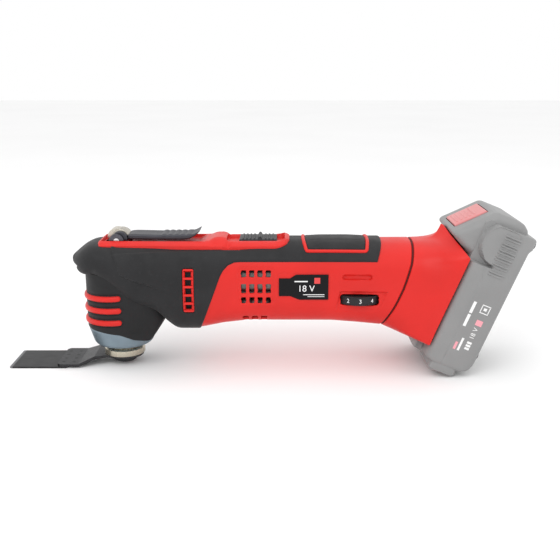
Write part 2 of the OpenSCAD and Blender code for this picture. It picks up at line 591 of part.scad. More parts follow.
module screw_pair(u, r, from, to) both_sides() translate([from, pack_w - 1.15, u]) rotate([0, 90, 0])
    cylinder(r = r, h = to - from, $fn = 24);
// the button's window in the sloping face, and the shaft for the latch's arm and tooth
module latch_room() {
    latch_frame() slab([-10, 10], [-15.3, 15.3], [-0.3, 24.3]);
    slab([-20, -4], [-5.2, 5.2], [48, 80]);
}
module latch_frame() translate([-13.3, 0, 82]) rotate([0, 43.2, 0]) children();
module pack_upper_case() on_pack() color(pack_grey) {
    intersection() {
        pack_solid();
        slab([-40, case_split - 0.1], [-50, 50], [-30, 120]);
    }
    // bridge behind the latch's spring
    latch_frame() slab([10.8, 12.8], [-28, 28], [8, 16]);
}
module pack_lower_case() on_pack() color(pack_grey) intersection() {
    pack_solid();
    slab([case_split + 0.1, 60], [-50, 50], [-30, 120]);
}
module pack_cells() on_pack() color([0.3, 0.6, 0.75]) for (i = [0 : 4])
    translate([24.6, 32.5, 6 + 18.6 * i]) side_on() cylinder(r = 9.15, h = 65);
// the block that slides into the dock: neck, rails and slots for the tool's blades
module pack_rails() on_pack() color(pack_grey) difference() {
    intersection() {
        union() {
            slab([-5.2, 0.3], [-21, 21], [-8, 67.8]);
            slab([-rail_h, -5.1], [-rail_w, rail_w], [-8, 70.4]);
        }
        cased([[0.3, -7.2], [-4, -6.4], [-7.5, -4.6], [-rail_h, -2], [-rail_h, 71], [0.3, 71]], 30);
    }
    for (y = [-14, -5, 5, 14]) slab([-rail_h - 1, -2], [y - 0.8, y + 0.8], [-12, 24]);
    slab([-20, -4], [-5.2, 5.2], [48, 80]);
}
module pack_board() on_pack() color([0.1, 0.35, 0.2]) {
    slab([10, 11.6], [-30, 30], [0, 66]);
    for (y = [-14, -5, 5, 14]) slab([2.8, 10.2], [y - 2, y + 2], [10, 20]);
}
// pressed straight into the sloping face, it pulls its tooth down out of the dock
module pack_latch() on_pack() color([0.93, 0.55, 0.56]) {
    latch_frame() difference() {
        slab([-0.8, 2.4], [-15, 15], [0, 24]);
        for (i = [0 : 4]) slab([-1, -0.2], [-11, 11], [6 + 3 * i, 7.4 + 3 * i]);
    }
    latch_frame() slab([2.2, 5], [-3.5, 3.5], [0, 3]);
}
module latch_spring() on_pack() color(steel) latch_frame() translate([2.6, 0, 12]) rotate([0, 90, 0]) tube(3.6, 2.6, 8);
module pack_screws() on_pack() color(dark_steel) for (u = screw_rows) screw_pair(u, 0.95, 9.1, 34);
module motor_leads() place() color([0.75, 0.1, 0.1]) for (y = [-4, 4])
    along_x(118.4) translate([0, y, 0]) cylinder(r = 1.1, h = 60, $fn = 24);

saw_plate();
blade_holder();
clamp_bolt();
spindle();
rocker_fork();
draw_bar();
grip_jaws();
clamp_spring();
gear_collar();
gearbox_casting();
lower_spindle_bearing();
upper_spindle_bearing();
spindle_seal();
gearbox_boot();
nose_ribs();
front_shell_left();
front_shell_right();
housing_left();
housing_right();
grip_band();
pad_trim();
grip_pad();
top_cover();
side_vent_left();
side_vent_right();
name_plate_left();
name_plate_right();
release_lever();
lever_cam();
lever_pin();
switch_slider();
switch_rod();
power_switch();
speed_dial();
speed_board();
motor_controller();
motor_can();
motor_end_cap();
motor_magnets();
motor_brushes();
motor_shaft();
armature();
commutator();
cooling_fan();
eccentric_bearing();
front_motor_bearing();
battery_dock();
dock_plate();
terminal_block();
terminal_blades();
housing_screws();
pack_upper_case();
pack_lower_case();
pack_cells();
pack_rails();
pack_board();
pack_latch();
latch_spring();
pack_screws();
motor_leads();
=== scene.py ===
"""Cordless oscillating multi-tool with its battery pack.

Every surface is worked out in millimetres from the spindle's axis and the table, then put in the frame in metres.
"""

import math

import bmesh
import bpy
import numpy as np
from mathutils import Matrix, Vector


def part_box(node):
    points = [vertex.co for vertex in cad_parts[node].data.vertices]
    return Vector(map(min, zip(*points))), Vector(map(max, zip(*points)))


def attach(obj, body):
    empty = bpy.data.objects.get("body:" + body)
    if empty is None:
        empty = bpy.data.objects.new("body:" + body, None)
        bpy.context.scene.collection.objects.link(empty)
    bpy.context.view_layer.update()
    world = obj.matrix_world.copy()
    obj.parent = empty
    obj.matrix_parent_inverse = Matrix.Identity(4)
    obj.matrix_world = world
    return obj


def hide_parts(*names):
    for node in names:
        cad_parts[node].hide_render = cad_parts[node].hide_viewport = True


bl_info = {
    "name": "Oscillating Multi-Tool",
    "version": (1, 0, 0),
    "blender": (4, 5, 0),
    "location": "3D Viewport > Sidebar > Multi-Tool",
    "description": "Builds the shells, controls, blade and battery pack of a cordless oscillating multi-tool",
    "category": "Object",
}

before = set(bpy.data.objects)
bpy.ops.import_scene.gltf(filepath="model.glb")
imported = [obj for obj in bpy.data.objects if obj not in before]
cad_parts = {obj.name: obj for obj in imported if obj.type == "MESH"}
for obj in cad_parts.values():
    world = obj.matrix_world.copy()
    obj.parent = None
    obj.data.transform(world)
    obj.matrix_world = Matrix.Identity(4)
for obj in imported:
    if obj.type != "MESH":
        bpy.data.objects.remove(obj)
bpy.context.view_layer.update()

# ---- Sizes taken from the frame, in millimetres ----
SPINDLE_X = 500 * (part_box("spindle")[0].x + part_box("spindle")[1].x)
TILT = math.radians(22)
DOCK = (214.2, 21.979)
PACK_HALF_W = 36.0
PRINT_Y = -PACK_HALF_W - 0.06
BLADE_REACH = 80.0
DIAL = (168.0, -13.0, 53.0)
DIAL_R = 16.0

# ---- The body: height of its top and bottom, its half width, and its seams, along the handle ----
TOP = [(-32.5, 79.6), (-31.3, 80.4), (-29, 82.4), (-25.8, 85.2), (-17.2, 90.6), (-13, 91.2), (20, 91.2),
       (60, 91.1), (204, 91)]
LOW = [(-32.5, 77.4), (-31.2, 75.8), (-30.1, 74), (-29.3, 71.2), (-28.2, 69.8), (-26, 68.6), (-14, 66.4), (-8, 62),
       (1, 52.6), (7, 48.6), (13.3, 45.6), (25.4, 42.4), (30.3, 37.8), (33.1, 34.6), (36.5, 31.5), (41, 28.3),
       (58, 28.2), (73, 31.4), (90, 33.4), (150, 33.2), (166, 32), (187, 30), (204, 30)]
WIDTH = [(-32.5, 6), (-30, 11), (-26, 17), (-20, 22.5), (-13, 26), (0, 27.5), (30, 27), (90, 26), (150, 26),
         (187, 27.5), (204, 28.5)]
SEAM = [(30, 184), (38, 187), (49, 192.2), (62, 197.5), (79, 202.8), (91, 204.8)]
FRONT_LINE = [(26, 55.5), (77, 73.5), (80, 76), (92, 76)]
BAND_LOW = [(56, 26), (72.3, 70.2), (74.3, 73.8), (77.6, 77.3), (82, 79.2), (86, 79.5), (200, 79.5)]
COVER_EDGE = [(-13, 91.5), (-6, 89.6), (1.2, 88.4), (44.8, 87.2), (109.7, 87.2), (114, 88.6), (118, 91.4),
              (120, 92)]
NOSE_X = -33.0
TIP_Z = 79.0
BODY_END = 204.0
POWER = 2.6
SEAM_GAP = 0.65
VENT_X, VENT_PITCH = 88.15, 5.65
VENT_ROWS = [(50.6, 55.2), (57.8, 64.8), (69.4, 74.4)]
FAR = 99.0
# rounded rectangles: middle along the handle, middle across it, half length, half breadth, corner radius
GROOVE_BOX = (165.9, 69.7, 10.2, 1.9, 1.8)
PLATE_SEAT = (129.3, 62.5, 17.6, 10.0, 2.5)
VENT_FLAT = (96.6, 63.2, 12.4, 13.2, 2.5)
DIAL_SLOT = (167.8, 52.9, 13.3, 4.25, 2.2)
LEVER_WELL = (29, 0, 39.5, 12.2, 2.5)
SWITCH_WELL = (96.2, 0, 19.9, 10.7, 2.0)
# along the handle, height, and length of each screw's well
BOSSES = [(118, 40, 14), (148, 40, 14), (176, 41, 18.5), (156, 84, 14), (190, 80, 19)]


def table(points, x):
    """Straight lines between the points of a table."""
    xs, ys = zip(*points)
    return np.interp(x, xs, ys)


def step(a, b, x):
    """0 before a, 1 after b, and a smooth cubic between."""
    t = np.clip((np.asarray(x, float) - a) / (b - a), 0, 1)
    return t * t * (3 - 2 * t)


def quarter(d, r):
    """How far a rounded edge of radius r falls at distance d from the edge: r less the quarter circle's height."""
    t = 1 - np.clip(np.asarray(d, float) / r, 0, 1)
    return r * (1 - np.sqrt(np.maximum(0, 1 - t * t)))


def soft_min(a, b, k):
    """The smaller of a and b, with a rounded corner about k wide."""
    h = np.clip(0.5 + 0.5 * (b - a) / k, 0, 1)
    return b * (1 - h) + a * h - k * h * (1 - h)


def box_distance(px, py, cx, cy, hx, hy, r):
    """Signed distance to a rounded rectangle, negative inside."""
    qx, qy = np.abs(px - cx) - hx + r, np.abs(py - cy) - hy + r
    return np.hypot(np.maximum(qx, 0), np.maximum(qy, 0)) + np.minimum(np.maximum(qx, qy), 0) - r


def outline_distance(px, py, corners):
    """Signed distance to a closed outline of straight sides, negative inside."""
    best = np.full(np.broadcast(px, py).shape, 1e9)
    inside = np.zeros(best.shape, bool)
    for (ax, ay), (bx, by) in zip(corners, corners[1:] + corners[:1]):
        ex, ey = bx - ax, by - ay
        t = np.clip(((px - ax) * ex + (py - ay) * ey) / (ex * ex + ey * ey), 0, 1)
        best = np.minimum(best, np.hypot(px - ax - t * ex, py - ay - t * ey))
        if ey:
            inside ^= ((ay > py) != (by > py)) & (px < ax + (py - ay) * ex / ey)
    return np.where(inside, -best, best)


def section(x):
    """Half width, middle and half height of the body at x: the tables averaged over 5 mm, less near both ends."""
    x = np.asarray(x, float)
    reach = np.clip(np.minimum(x - NOSE_X, BODY_END - x) * 0.5, 0, 2.5)
    top, low, width = (sum(table(t, x + k * reach) for k in np.linspace(-1, 1, 7)) / 7 for t in (TOP, LOW, WIDTH))
    return width, (top + low) / 2, (top - low) / 2


def body_point(x, angle, g):
    """Where a ray at that angle, -90 degrees at the bottom, meets |y/w|^p + |z/h|^p = 1, grown by g."""
    w, mid, h = section(x)
    c, s = np.cos(angle), np.sin(angle)
    r = ((np.abs(c) / (w + g)) ** POWER + (np.abs(s) / (h + g)) ** POWER) ** (-1 / POWER)
    return np.stack(np.broadcast_arrays(x + 0 * r, -r * c, mid + r * s), -1)


def angle_at(x, z):
    """The angle at which the body's left side has height z."""
    w, mid, h = section(x)
    k = np.clip((z - mid) / h, -1, 1)
    return np.arctan2(k * h, w * (1 - np.abs(k) ** POWER) ** (1 / POWER))


def side_point(x, z, g=0.0):
    """A point of the body's left side at height z, grown by g."""
    return body_point(x, angle_at(x, z), g)


def on_pack(v, y, u):
    """A point of the pack's own frame: v is depth into the pack, u is height along it."""
    c, s = math.cos(TILT), math.sin(TILT)
    return np.stack(np.broadcast_arrays(DOCK[0] + v * c + u * s, y, DOCK[1] - v * s + u * c), -1)


# ---- From grids to pieces ----
def grid(points, wrap_u=False, wrap_v=False, keep=None):
    """Vertices and quads of a grid of points with shape (n, m, 3), joined round where a direction wraps."""
    n, m = points.shape[:2]
    index = np.arange(n * m).reshape(n, m)
    if wrap_u:
        index = np.vstack([index, index[:1]])
    if wrap_v:
        index = np.hstack([index, index[:, :1]])
    quads = np.stack([index[:-1, :-1], index[1:, :-1], index[1:, 1:], index[:-1, 1:]], -1)
    quads = quads[keep] if keep is not None else quads.reshape(-1, 4)
    return points.reshape(-1, 3), quads


def capped(rings):
    """A stack of closed rings, with both ends drawn in to their middles."""
    first, last = (np.broadcast_to(rings[i].mean(0), rings[i].shape) for i in (0, -1))
    return grid(np.concatenate([first[None], rings, last[None]]), wrap_v=True)


def bunched(n):
    """n steps from -1 to 1, finer towards both ends."""
    return np.sin(np.linspace(-1, 1, n) * math.pi / 2)


def smoothed(ring):
    """A closed row of values, each drawn towards its two neighbours."""
    return (np.roll(ring, 1) + 2 * ring + np.roll(ring, -1)) / 4


def full_turn(n):
    """Angles of n even steps round a circle."""
    return np.linspace(0, 2 * math.pi, n, endpoint=False)


def polar(r, angle, z, centre=(0, 0)):
    """Points at a distance and an angle round a vertical axis, at height z."""
    return np.stack(np.broadcast_arrays(centre[0] + r * np.cos(angle), centre[1] + r * np.sin(angle), z), -1)


def cut(points, d):
    """Slides points near a hole's edge, where d is 0, along the grid onto it, and marks the quads outside it."""
    di, dj = np.gradient(d)
    size = di ** 2 + dj ** 2 + 1e-9
    near = np.abs(d) < 0.5 * np.sqrt(size)
    pi, pj = np.gradient(points, axis=(0, 1))
    move_i = np.where(near, np.clip(-d * di / size, -0.5, 0.5), 0)[..., None]
    move_j = np.where(near, np.clip(-d * dj / size, -0.5, 0.5), 0)[..., None]
    flat = np.where(near, 0, d)
    mean = flat[:-1, :-1] + flat[1:, :-1] + flat[1:, 1:] + flat[:-1, 1:]
    return points + move_i * pi + move_j * pj, mean > 1e-6


def mirrored(part):
    """The same vertices and quads on the other side of the tool."""
    points, quads = part
    return points * [1, -1, 1], quads[:, ::-1]


def piece(name, parts, finish, body, slot, stands_for=(), wall=0.0, sharp=34.0):
    """One mesh from several parts: doubles merged, faces turned out, edges sharper than the limit kept."""
    points, quads, start = [], [], 0
    for p, q in parts:
        points.append(p)
        quads.append(q + start)
        start += len(p)
    points = (np.concatenate(points) + [SPINDLE_X, 0, 0]) / 1000
    mesh = bpy.data.meshes.new(name)
    mesh.from_pydata(points.tolist(), [], np.concatenate(quads).tolist())
    bm = bmesh.new()
    bm.from_mesh(mesh)
    bmesh.ops.remove_doubles(bm, verts=bm.verts, dist=4e-6)
    bmesh.ops.dissolve_degenerate(bm, dist=1e-7, edges=bm.edges)
    bmesh.ops.delete(bm, geom=[v for v in bm.verts if not v.link_faces], context="VERTS")
    bmesh.ops.recalc_face_normals(bm, faces=bm.faces)
    bm.to_mesh(mesh)
    bm.free()
    if len(parts) == 1 or wall:
        normal, centre, area = (np.empty(len(mesh.polygons) * size) for size in (3, 3, 1))
        mesh.polygons.foreach_get("normal", normal)
        mesh.polygons.foreach_get("center", centre)
        mesh.polygons.foreach_get("area", area)
        centre = centre.reshape(-1, 3) - centre.reshape(-1, 3).mean(0)
        if ((normal.reshape(-1, 3) * centre).sum(1) * area).sum() < 0:
            mesh.flip_normals()
    mesh.shade_smooth()
    mesh.set_sharp_from_angle(angle=math.radians(sharp))
    return place(name, mesh, finish, body, stands_for, wall)


def red_piece(name, parts, node=None, **look):
    """A piece of red plastic fixed to the tool's body."""
    return piece(name, parts, "red_shell", "tool_body", "red_plastic", (node,) if node else (), **look)


def pair(name, part, finish, slot, node, wall):
    """The same piece on both sides of the tool, each standing for the node of its own side."""
    for side, half in (("left", part), ("right", mirrored(part))):
        piece(f"{name}_{side}", [half], finish, "tool_body", slot, (f"{node}_{side}",), wall=wall)


def place(name, mesh, finish, body, stands_for=(), wall=0.0):
    """Puts a finished mesh in the scene, gives it a wall if it needs one, and ties it to its body."""
    obj = bpy.data.objects.new(name, mesh)
    bpy.context.scene.collection.objects.link(obj)
    mesh.materials.append(FINISHES[finish])
    if wall:
        solid = obj.modifiers.new("wall", "SOLIDIFY")
        solid.thickness = wall / 1000
        solid.offset = -1
    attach(obj, body)
    if stands_for:
        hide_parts(*stands_for)
    return obj


def lathe(profile, turns=96, centre=(0, 0), squeeze=None):
    """A profile of radius and height carried round a vertical axis. squeeze gives a factor on radius."""
    p = np.asarray(profile, float)
    angle = full_turn(turns)[:, None]
    r = p[:, 0] * (1 if squeeze is None else squeeze(angle, np.arange(len(p))))
    return grid(polar(r, angle, p[:, 1], centre), wrap_u=True)


def turned(line, to_space, turns=32):
    """A profile of radius and height carried round an axis of a space of its own."""
    p = np.asarray(line, float)
    a = full_turn(turns)[:, None]
    r, h = p[None, :, 0], np.broadcast_to(p[None, :, 1], (turns, len(p)))
    return grid(to_space(r * np.cos(a), r * np.sin(a), h), wrap_u=True)


def rounded(corners, r):
    """An open line of straight sides with each inner corner replaced by a curve that starts r before it."""
    c = np.asarray(corners, float)
    out = [c[:1]]
    for a, b, d in zip(c[:-2], c[1:-1], c[2:]):
        la, ld = np.linalg.norm(a - b), np.linalg.norm(d - b)
        p, q = b + (a - b) * min(0.45, r / la), b + (d - b) * min(0.45, r / ld)
        t = np.linspace(0, 1, 5)[:, None]
        out.append(p * (1 - t) ** 2 + b * 2 * t * (1 - t) + q * t * t)
    out.append(c[-1:])
    return np.concatenate(out)


def tube(path, radius, sides=10):
    """A circle carried along a closed path, square to the path's direction at each point."""
    p = np.asarray(path, float)
    along = np.roll(p, -1, 0) - np.roll(p, 1, 0)
    along /= np.linalg.norm(along, axis=1)[:, None]
    up = np.array([0.0, 0.0, 1.0]) + 1e-3
    side = np.cross(along, up)
    side /= np.linalg.norm(side, axis=1)[:, None]
    other = np.cross(side, along)
    a = full_turn(sides)[None, :, None]
    circle = side[:, None] * np.cos(a) + other[:, None] * np.sin(a)
    return grid(p[:, None] + radius * circle, wrap_u=True, wrap_v=True)


def pillow(to_space, size, height, r, n=(40, 40), relief=None, base=-1.0):
    """A rounded rectangle raised by height over its base with edges rounded by r, closed underneath."""
    a, b = np.broadcast_arrays(bunched(n[0])[:, None] * size[0], bunched(n[1])[None, :] * size[1])
    d = np.minimum(size[0] - np.abs(a), size[1] - np.abs(b))
    top = height - quarter(d, r) + (relief(a, b) * step(0.3, 1.2, d) if relief else 0)
    top = np.where(d <= 1e-9, base, top)
    under = np.full_like(top, base)
    return [grid(to_space(a, b, top)), grid(to_space(a, b, under)[::-1])]


# ---- Finishes ----
FINISHES = {}


def linear(c):
    """A colour picked as sRGB, as the shader wants it."""
    return tuple(v / 12.92 if v <= 0.04045 else ((v + 0.055) / 1.055) ** 2.4 for v in c[:3]) + (1.0,)


class Nodes:
    """Short names for the shader nodes that a finish is made of."""

    def __init__(self, name):
        self.mat = bpy.data.materials.new(name)
        self.mat.use_nodes = True
        self.tree = self.mat.node_tree
        self.shader = self.tree.nodes["Principled BSDF"]
        self.where = self.tree.nodes.new("ShaderNodeTexCoord").outputs["Object"]
        self.normal = None

    def node(self, kind, inputs=None, **settings):
        """A new node with its settings, each of its sockets set to a value or linked to another node's output."""
        node = self.tree.nodes.new(kind)
        for key, value in settings.items():
            setattr(node, key, value)
        self.fill(node, inputs or {})
        return node

    def fill(self, node, inputs):
        for key, value in inputs.items():
            if isinstance(value, bpy.types.NodeSocket):
                self.tree.links.new(value, node.inputs[key])
            else:
                node.inputs[key].default_value = value

    def noise(self, scale, detail=3.0, stretch=None):
        where = self.where
        if stretch:
            where = self.node("ShaderNodeMapping", {"Scale": stretch, "Vector": where}).outputs["Vector"]
        return self.node("ShaderNodeTexNoise", {"Scale": scale, "Detail": detail, "Vector": where}).outputs["Fac"]

    def grains(self, scale):
        return self.node("ShaderNodeTexVoronoi", {"Scale": scale, "Vector": self.where}).outputs["Distance"]

    def ramp(self, value, low, high, a, b):
        ends = {"Value": value, "From Min": low, "From Max": high, "To Min": a, "To Max": b}
        return self.node("ShaderNodeMapRange", ends).outputs["Result"]

    def cloud(self, scale, detail, low=0.3, high=0.7, a=0.0, b=1.0):
        """Noise whose range from low to high is spread over a to b."""
        return self.ramp(self.noise(scale, detail), low, high, a, b)

    def mix(self, factor, a, b):
        return self.node("ShaderNodeMix", {0: factor, 6: a, 7: b}, data_type="RGBA").outputs[2]

    def bump(self, height, strength, distance):
        inputs = {"Strength": strength, "Distance": distance, "Height": height}
        if self.normal:
            inputs["Normal"] = self.normal
        self.normal = self.node("ShaderNodeBump", inputs).outputs["Normal"]

    def finish(self, colour, rough, **fixed):
        inputs = {"Base Color": colour, "Roughness": rough}
        inputs.update({key.replace("_", " "): value for key, value in fixed.items()})
        if self.normal:
            inputs["Normal"] = self.normal
        self.fill(self.shader, inputs)
        return self.mat


def shade(c, k):
    """A colour made k times as bright."""
    return tuple(min(1.0, v * k) for v in c[:3]) + (1.0,)


def worn_edges(n, colour, bright, low=0.53, high=0.62):
    """A colour that turns brighter along outer edges, where handling polishes them."""
    point = n.node("ShaderNodeNewGeometry").outputs["Pointiness"]
    speck = n.cloud(900, 4, 0.35, 0.65, 0.4, 1.0)
    edge = n.node("ShaderNodeMath", {0: n.ramp(point, low, high, 0.0, 1.0), 1: speck}, operation="MULTIPLY")
    return n.mix(edge.outputs[0], colour, bright)


def moulded(name, c, rough=0.38, grain=2600, depth=0.00006, strength=0.25, wear=1.35, **fixed):
    """Moulded plastic: spark-eroded grain, slow waves of colour, and rubbed edges."""
    n = Nodes(name)
    tone = n.mix(n.cloud(38, 3), shade(c, 0.93), shade(c, 1.05))
    fine = n.mix(n.cloud(1500, 2), tone, shade(c, 0.9))
    part = n.mix(n.cloud(7, 2, 0.45, 0.6, 0.0, 0.5), tone, fine)
    colour = worn_edges(n, part, shade(c, wear))
    n.bump(n.grains(grain), strength, depth)
    n.bump(n.noise(240, 3), 0.06, 0.0002)
    gloss = n.cloud(60, 4, 0.3, 0.7, rough - 0.05, rough + 0.07)
    fixed.setdefault("Specular_IOR_Level", 0.26)
    return n.finish(colour, gloss, **fixed)


def soft_grip(name, c):
    """Soft overmoulded rubber: matt, fine leathery grain, paler dust in patches and a faint sheen."""
    n = Nodes(name)
    tone = n.mix(n.cloud(45, 4, 0.35, 0.7, 0.0, 1.0), shade(c, 0.86), shade(c, 1.12))
    dust = n.mix(n.cloud(420, 5, 0.6, 0.78, 0.0, 0.35), tone, shade(c, 1.9))
    colour = worn_edges(n, dust, shade(c, 1.7), 0.52, 0.64)
    n.bump(n.grains(1700), 0.32, 0.00009)
    n.bump(n.noise(5200, 2), 0.16, 0.00004)
    return n.finish(colour, n.cloud(130, 3, 0.3, 0.7, 0.5, 0.66), Sheen_Weight=0.05, Sheen_Roughness=0.5,
                    Specular_IOR_Level=0.2)


def metal(name, c, rough, stretch=None, scale=500.0, wear=1.4, stain=0.8, depth=0.00003, **fixed):
    """Machined or cast metal: marks stretched the way it was worked, stains, and bright edges."""
    n = Nodes(name)
    tone = n.mix(n.cloud(90, 5, 0.35, 0.7, 0.0, 1.0), shade(c, stain), shade(c, 1.06))
    marks = n.noise(scale, 4, stretch)
    tone = n.mix(n.ramp(marks, 0.35, 0.65, 0.0, 0.45), tone, shade(c, 1.2))
    colour = worn_edges(n, tone, shade(c, wear), 0.52, 0.6)
    n.bump(marks, 0.35, depth)
    return n.finish(colour, n.ramp(marks, 0.3, 0.7, rough - 0.07, rough + 0.09), Metallic=1.0, **fixed)


def blade_finish(name, c):
    """Blued steel: cross-ground scratches and a bare cutting edge."""
    n = Nodes(name)
    tone = n.mix(n.cloud(120, 5), shade(c, 0.75), shade(c, 1.2))
    marks = n.noise(700, 3, (0.15, 6, 1))
    tone = n.mix(n.ramp(marks, 0.55, 0.75, 0.0, 0.4), tone, shade(c, 1.8))
    split = n.node("ShaderNodeSeparateXYZ", {0: n.where})
    edge = (SPINDLE_X - BLADE_REACH) / 1000
    bare = n.ramp(split.outputs["X"], edge + 0.0016, edge + 0.0026, 1.0, 0.0)
    tone = n.mix(bare, tone, (0.2, 0.2, 0.205, 1.0))
    n.bump(marks, 0.3, 0.00003)
    n.bump(n.noise(1500, 4), 0.1, 0.00003)
    return n.finish(tone, n.ramp(marks, 0.3, 0.7, 0.36, 0.52), Metallic=0.85)


def printed(name, c, rough=0.45):
    """Pad-printed ink with small gaps in it."""
    n = Nodes(name)
    colour = n.mix(n.cloud(2200, 3, 0.25, 0.36, 0.0, 1.0), shade(c, 0.8), c)
    n.bump(n.noise(2600, 2), 0.08, 0.00002)
    return n.finish(colour, rough)


def wound(name, c):
    """Varnished copper or board: fine stripes under gloss."""
    n = Nodes(name)
    stripes = n.noise(900, 2, (6, 1, 1))
    colour = n.mix(n.ramp(stripes, 0.4, 0.6, 0.0, 1.0), shade(c, 0.7), shade(c, 1.15))
    n.bump(stripes, 0.3, 0.00004)
    return n.finish(colour, n.cloud(200, 3, 0.3, 0.7, 0.25, 0.45))


def make_finishes(p):
    """All the tool's finishes, from the colours in the sidebar."""
    red, black, pack = linear(p.shell_red), linear(p.grip_black), linear(p.pack_grey)

    def add(make, name, *values, **fixed):
        FINISHES[name] = make(name, *values, **fixed)

    add(moulded, "red_shell", red, 0.36)
    add(moulded, "seam_shadow", shade(red, 0.12), 0.6)
    add(soft_grip, "grip_skin", black)
    add(soft_grip, "boot_rubber", shade(black, 0.8))
    add(moulded, "dark_plastic", linear(p.control_grey), 0.42, 2200, wear=1.8)
    add(moulded, "plate_film", (0.006, 0.006, 0.007, 1.0), 0.3, 4200, 0.00003, 0.12, 1.2, Specular_IOR_Level=0.15)
    add(printed, "white_ink", (0.82, 0.82, 0.82, 1.0))
    add(printed, "pink_ink", linear((0.93, 0.62, 0.66)))
    add(printed, "red_ink", (0.7, 0.05, 0.05, 1.0))
    add(metal, "lever_alloy", linear(p.lever_grey), 0.42, (1, 1, 1), 1600, 1.7)
    add(metal, "cam_steel", (0.47, 0.44, 0.38, 1.0), 0.3, (1, 12, 1), 500)
    add(metal, "flange_steel", (0.5, 0.46, 0.37, 1.0), 0.27, (1, 1, 14), 420, 1.3, 0.7)
    add(metal, "turned_steel", (0.55, 0.55, 0.55, 1.0), 0.3, (10, 1, 1), 500)
    add(metal, "bearing_steel", (0.6, 0.6, 0.6, 1.0), 0.2, (1, 1, 12), 400)
    add(metal, "cast_alloy", linear(p.collar_alloy), 0.5, (1, 1, 1), 1900, 1.35, 0.88, 0.00008)
    add(metal, "can_steel", (0.11, 0.11, 0.105, 1.0), 0.3, (1, 8, 8), 300)
    add(blade_finish, "blued_steel", linear(p.blade_grey))
    add(metal, "holder_steel", linear(p.blade_grey), 0.42, (0.2, 5, 1), 600, 2.0, 0.7, 0.00003)
    add(moulded, "pack_shell", pack, 0.42, 2400, 0.00006, 0.22, 1.12)
    add(moulded, "latch_pink", linear(p.latch_pink), 0.36, 2600, wear=1.1)
    add(moulded, "cell_sleeve", (0.05, 0.25, 0.45, 1.0), 0.3, 3000, Coat_Weight=0.3)
    add(wound, "circuit_board", (0.01, 0.1, 0.04, 1.0))
    add(metal, "contact_brass", (0.7, 0.48, 0.2, 1.0), 0.28, (1, 6, 1), 600)
    add(metal, "copper", (0.7, 0.3, 0.14, 1.0), 0.3, (8, 1, 1), 700)
    add(metal, "magnet", (0.05, 0.05, 0.055, 1.0), 0.5, (1, 1, 1), 900)
    add(wound, "windings", (0.35, 0.12, 0.04, 1.0))
    add(moulded, "lead_wire", (0.45, 0.02, 0.02, 1.0), 0.4, 4000)


NODE_FINISHES = {
    "blued_steel": ["saw_plate"],
    "holder_steel": ["blade_holder", "clamp_bolt", "grip_jaws"],
    "flange_steel": ["spindle"],
    "turned_steel": ["rocker_fork", "draw_bar", "clamp_spring", "motor_shaft", "lever_pin", "latch_spring"],
    "bearing_steel": ["lower_spindle_bearing", "upper_spindle_bearing", "eccentric_bearing",
                      "front_motor_bearing"],
    "lever_alloy": ["gearbox_casting"],
    "can_steel": ["motor_can"],
    "cam_steel": ["lever_cam"],
    "boot_rubber": ["spindle_seal"],
    "dark_plastic": ["switch_rod", "power_switch", "motor_controller", "motor_end_cap", "cooling_fan",
                     "terminal_block", "motor_brushes"],
    "magnet": ["motor_magnets", "housing_screws", "pack_screws"],
    "windings": ["armature"],
    "copper": ["commutator"],
    "circuit_board": ["speed_board", "pack_board"],
    "contact_brass": ["terminal_blades"],
    "cell_sleeve": ["pack_cells"],
    "lead_wire": ["motor_leads"],
    "red_shell": ["dock_plate"],
    "pack_shell": ["pack_rails"],
}


def dress_nodes():
    """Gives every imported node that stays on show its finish."""
    for finish, names in NODE_FINISHES.items():
        for name in names:
            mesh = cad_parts[name].data
            mesh.materials.clear()
            mesh.materials.append(FINISHES[finish])


# ---- Black skin: front shell and grip band ----
PAD_U = [(123, 104), (131.5, 85.2), (172, 85.2), (177.5, 104)]
VENT = (50.45, 60.2, 3.9, 14.9)


def skin_growth(x, z, proud):
    """Height of the skin over the body: rolled off at its edges, sunk under the pad and the vent, and creased."""
    edge = outline_distance(x, z, [(-60, 10), (56, 10)] + BAND_LOW[:-1] + [(180, 79.5), (187, 100), (-60, 100)])
    g = proud - (proud + 0.5) * quarter(np.maximum(-edge, 0), 1.3) / 1.3
    g = g - 1.7 * (1 - step(-0.3, 0.7, outline_distance(x, z, PAD_U)))
    vent = box_distance(x, z, *VENT, 1.4)
    g = g - 3.2 * (1 - step(-0.45, 0.05, vent)) + 0.25 * np.exp(-((vent - 0.9) / 0.7) ** 2)
    crease = np.interp(z, [56, 63.7, 68.5, 72.1, 78.2, 84.8, 95], [45, 24.1, 10.3, 4.1, 2.6, -0.5, -5])
    left = 1 - step(-0.8, 0.3, x - crease)
    lower = step(50, 66, z) * (1 - step(22, 44, x))
    g = g - 1.5 * left * lower * step(-24, -14, x)
    shoulder = np.interp(x, [-1, 34, 81], [84.7, 85.8, 86.4])
    return g - 1.0 * step(-0.4, 0.4, z - shoulder) * step(-3, 1, x) * (1 - step(84, 100, x))


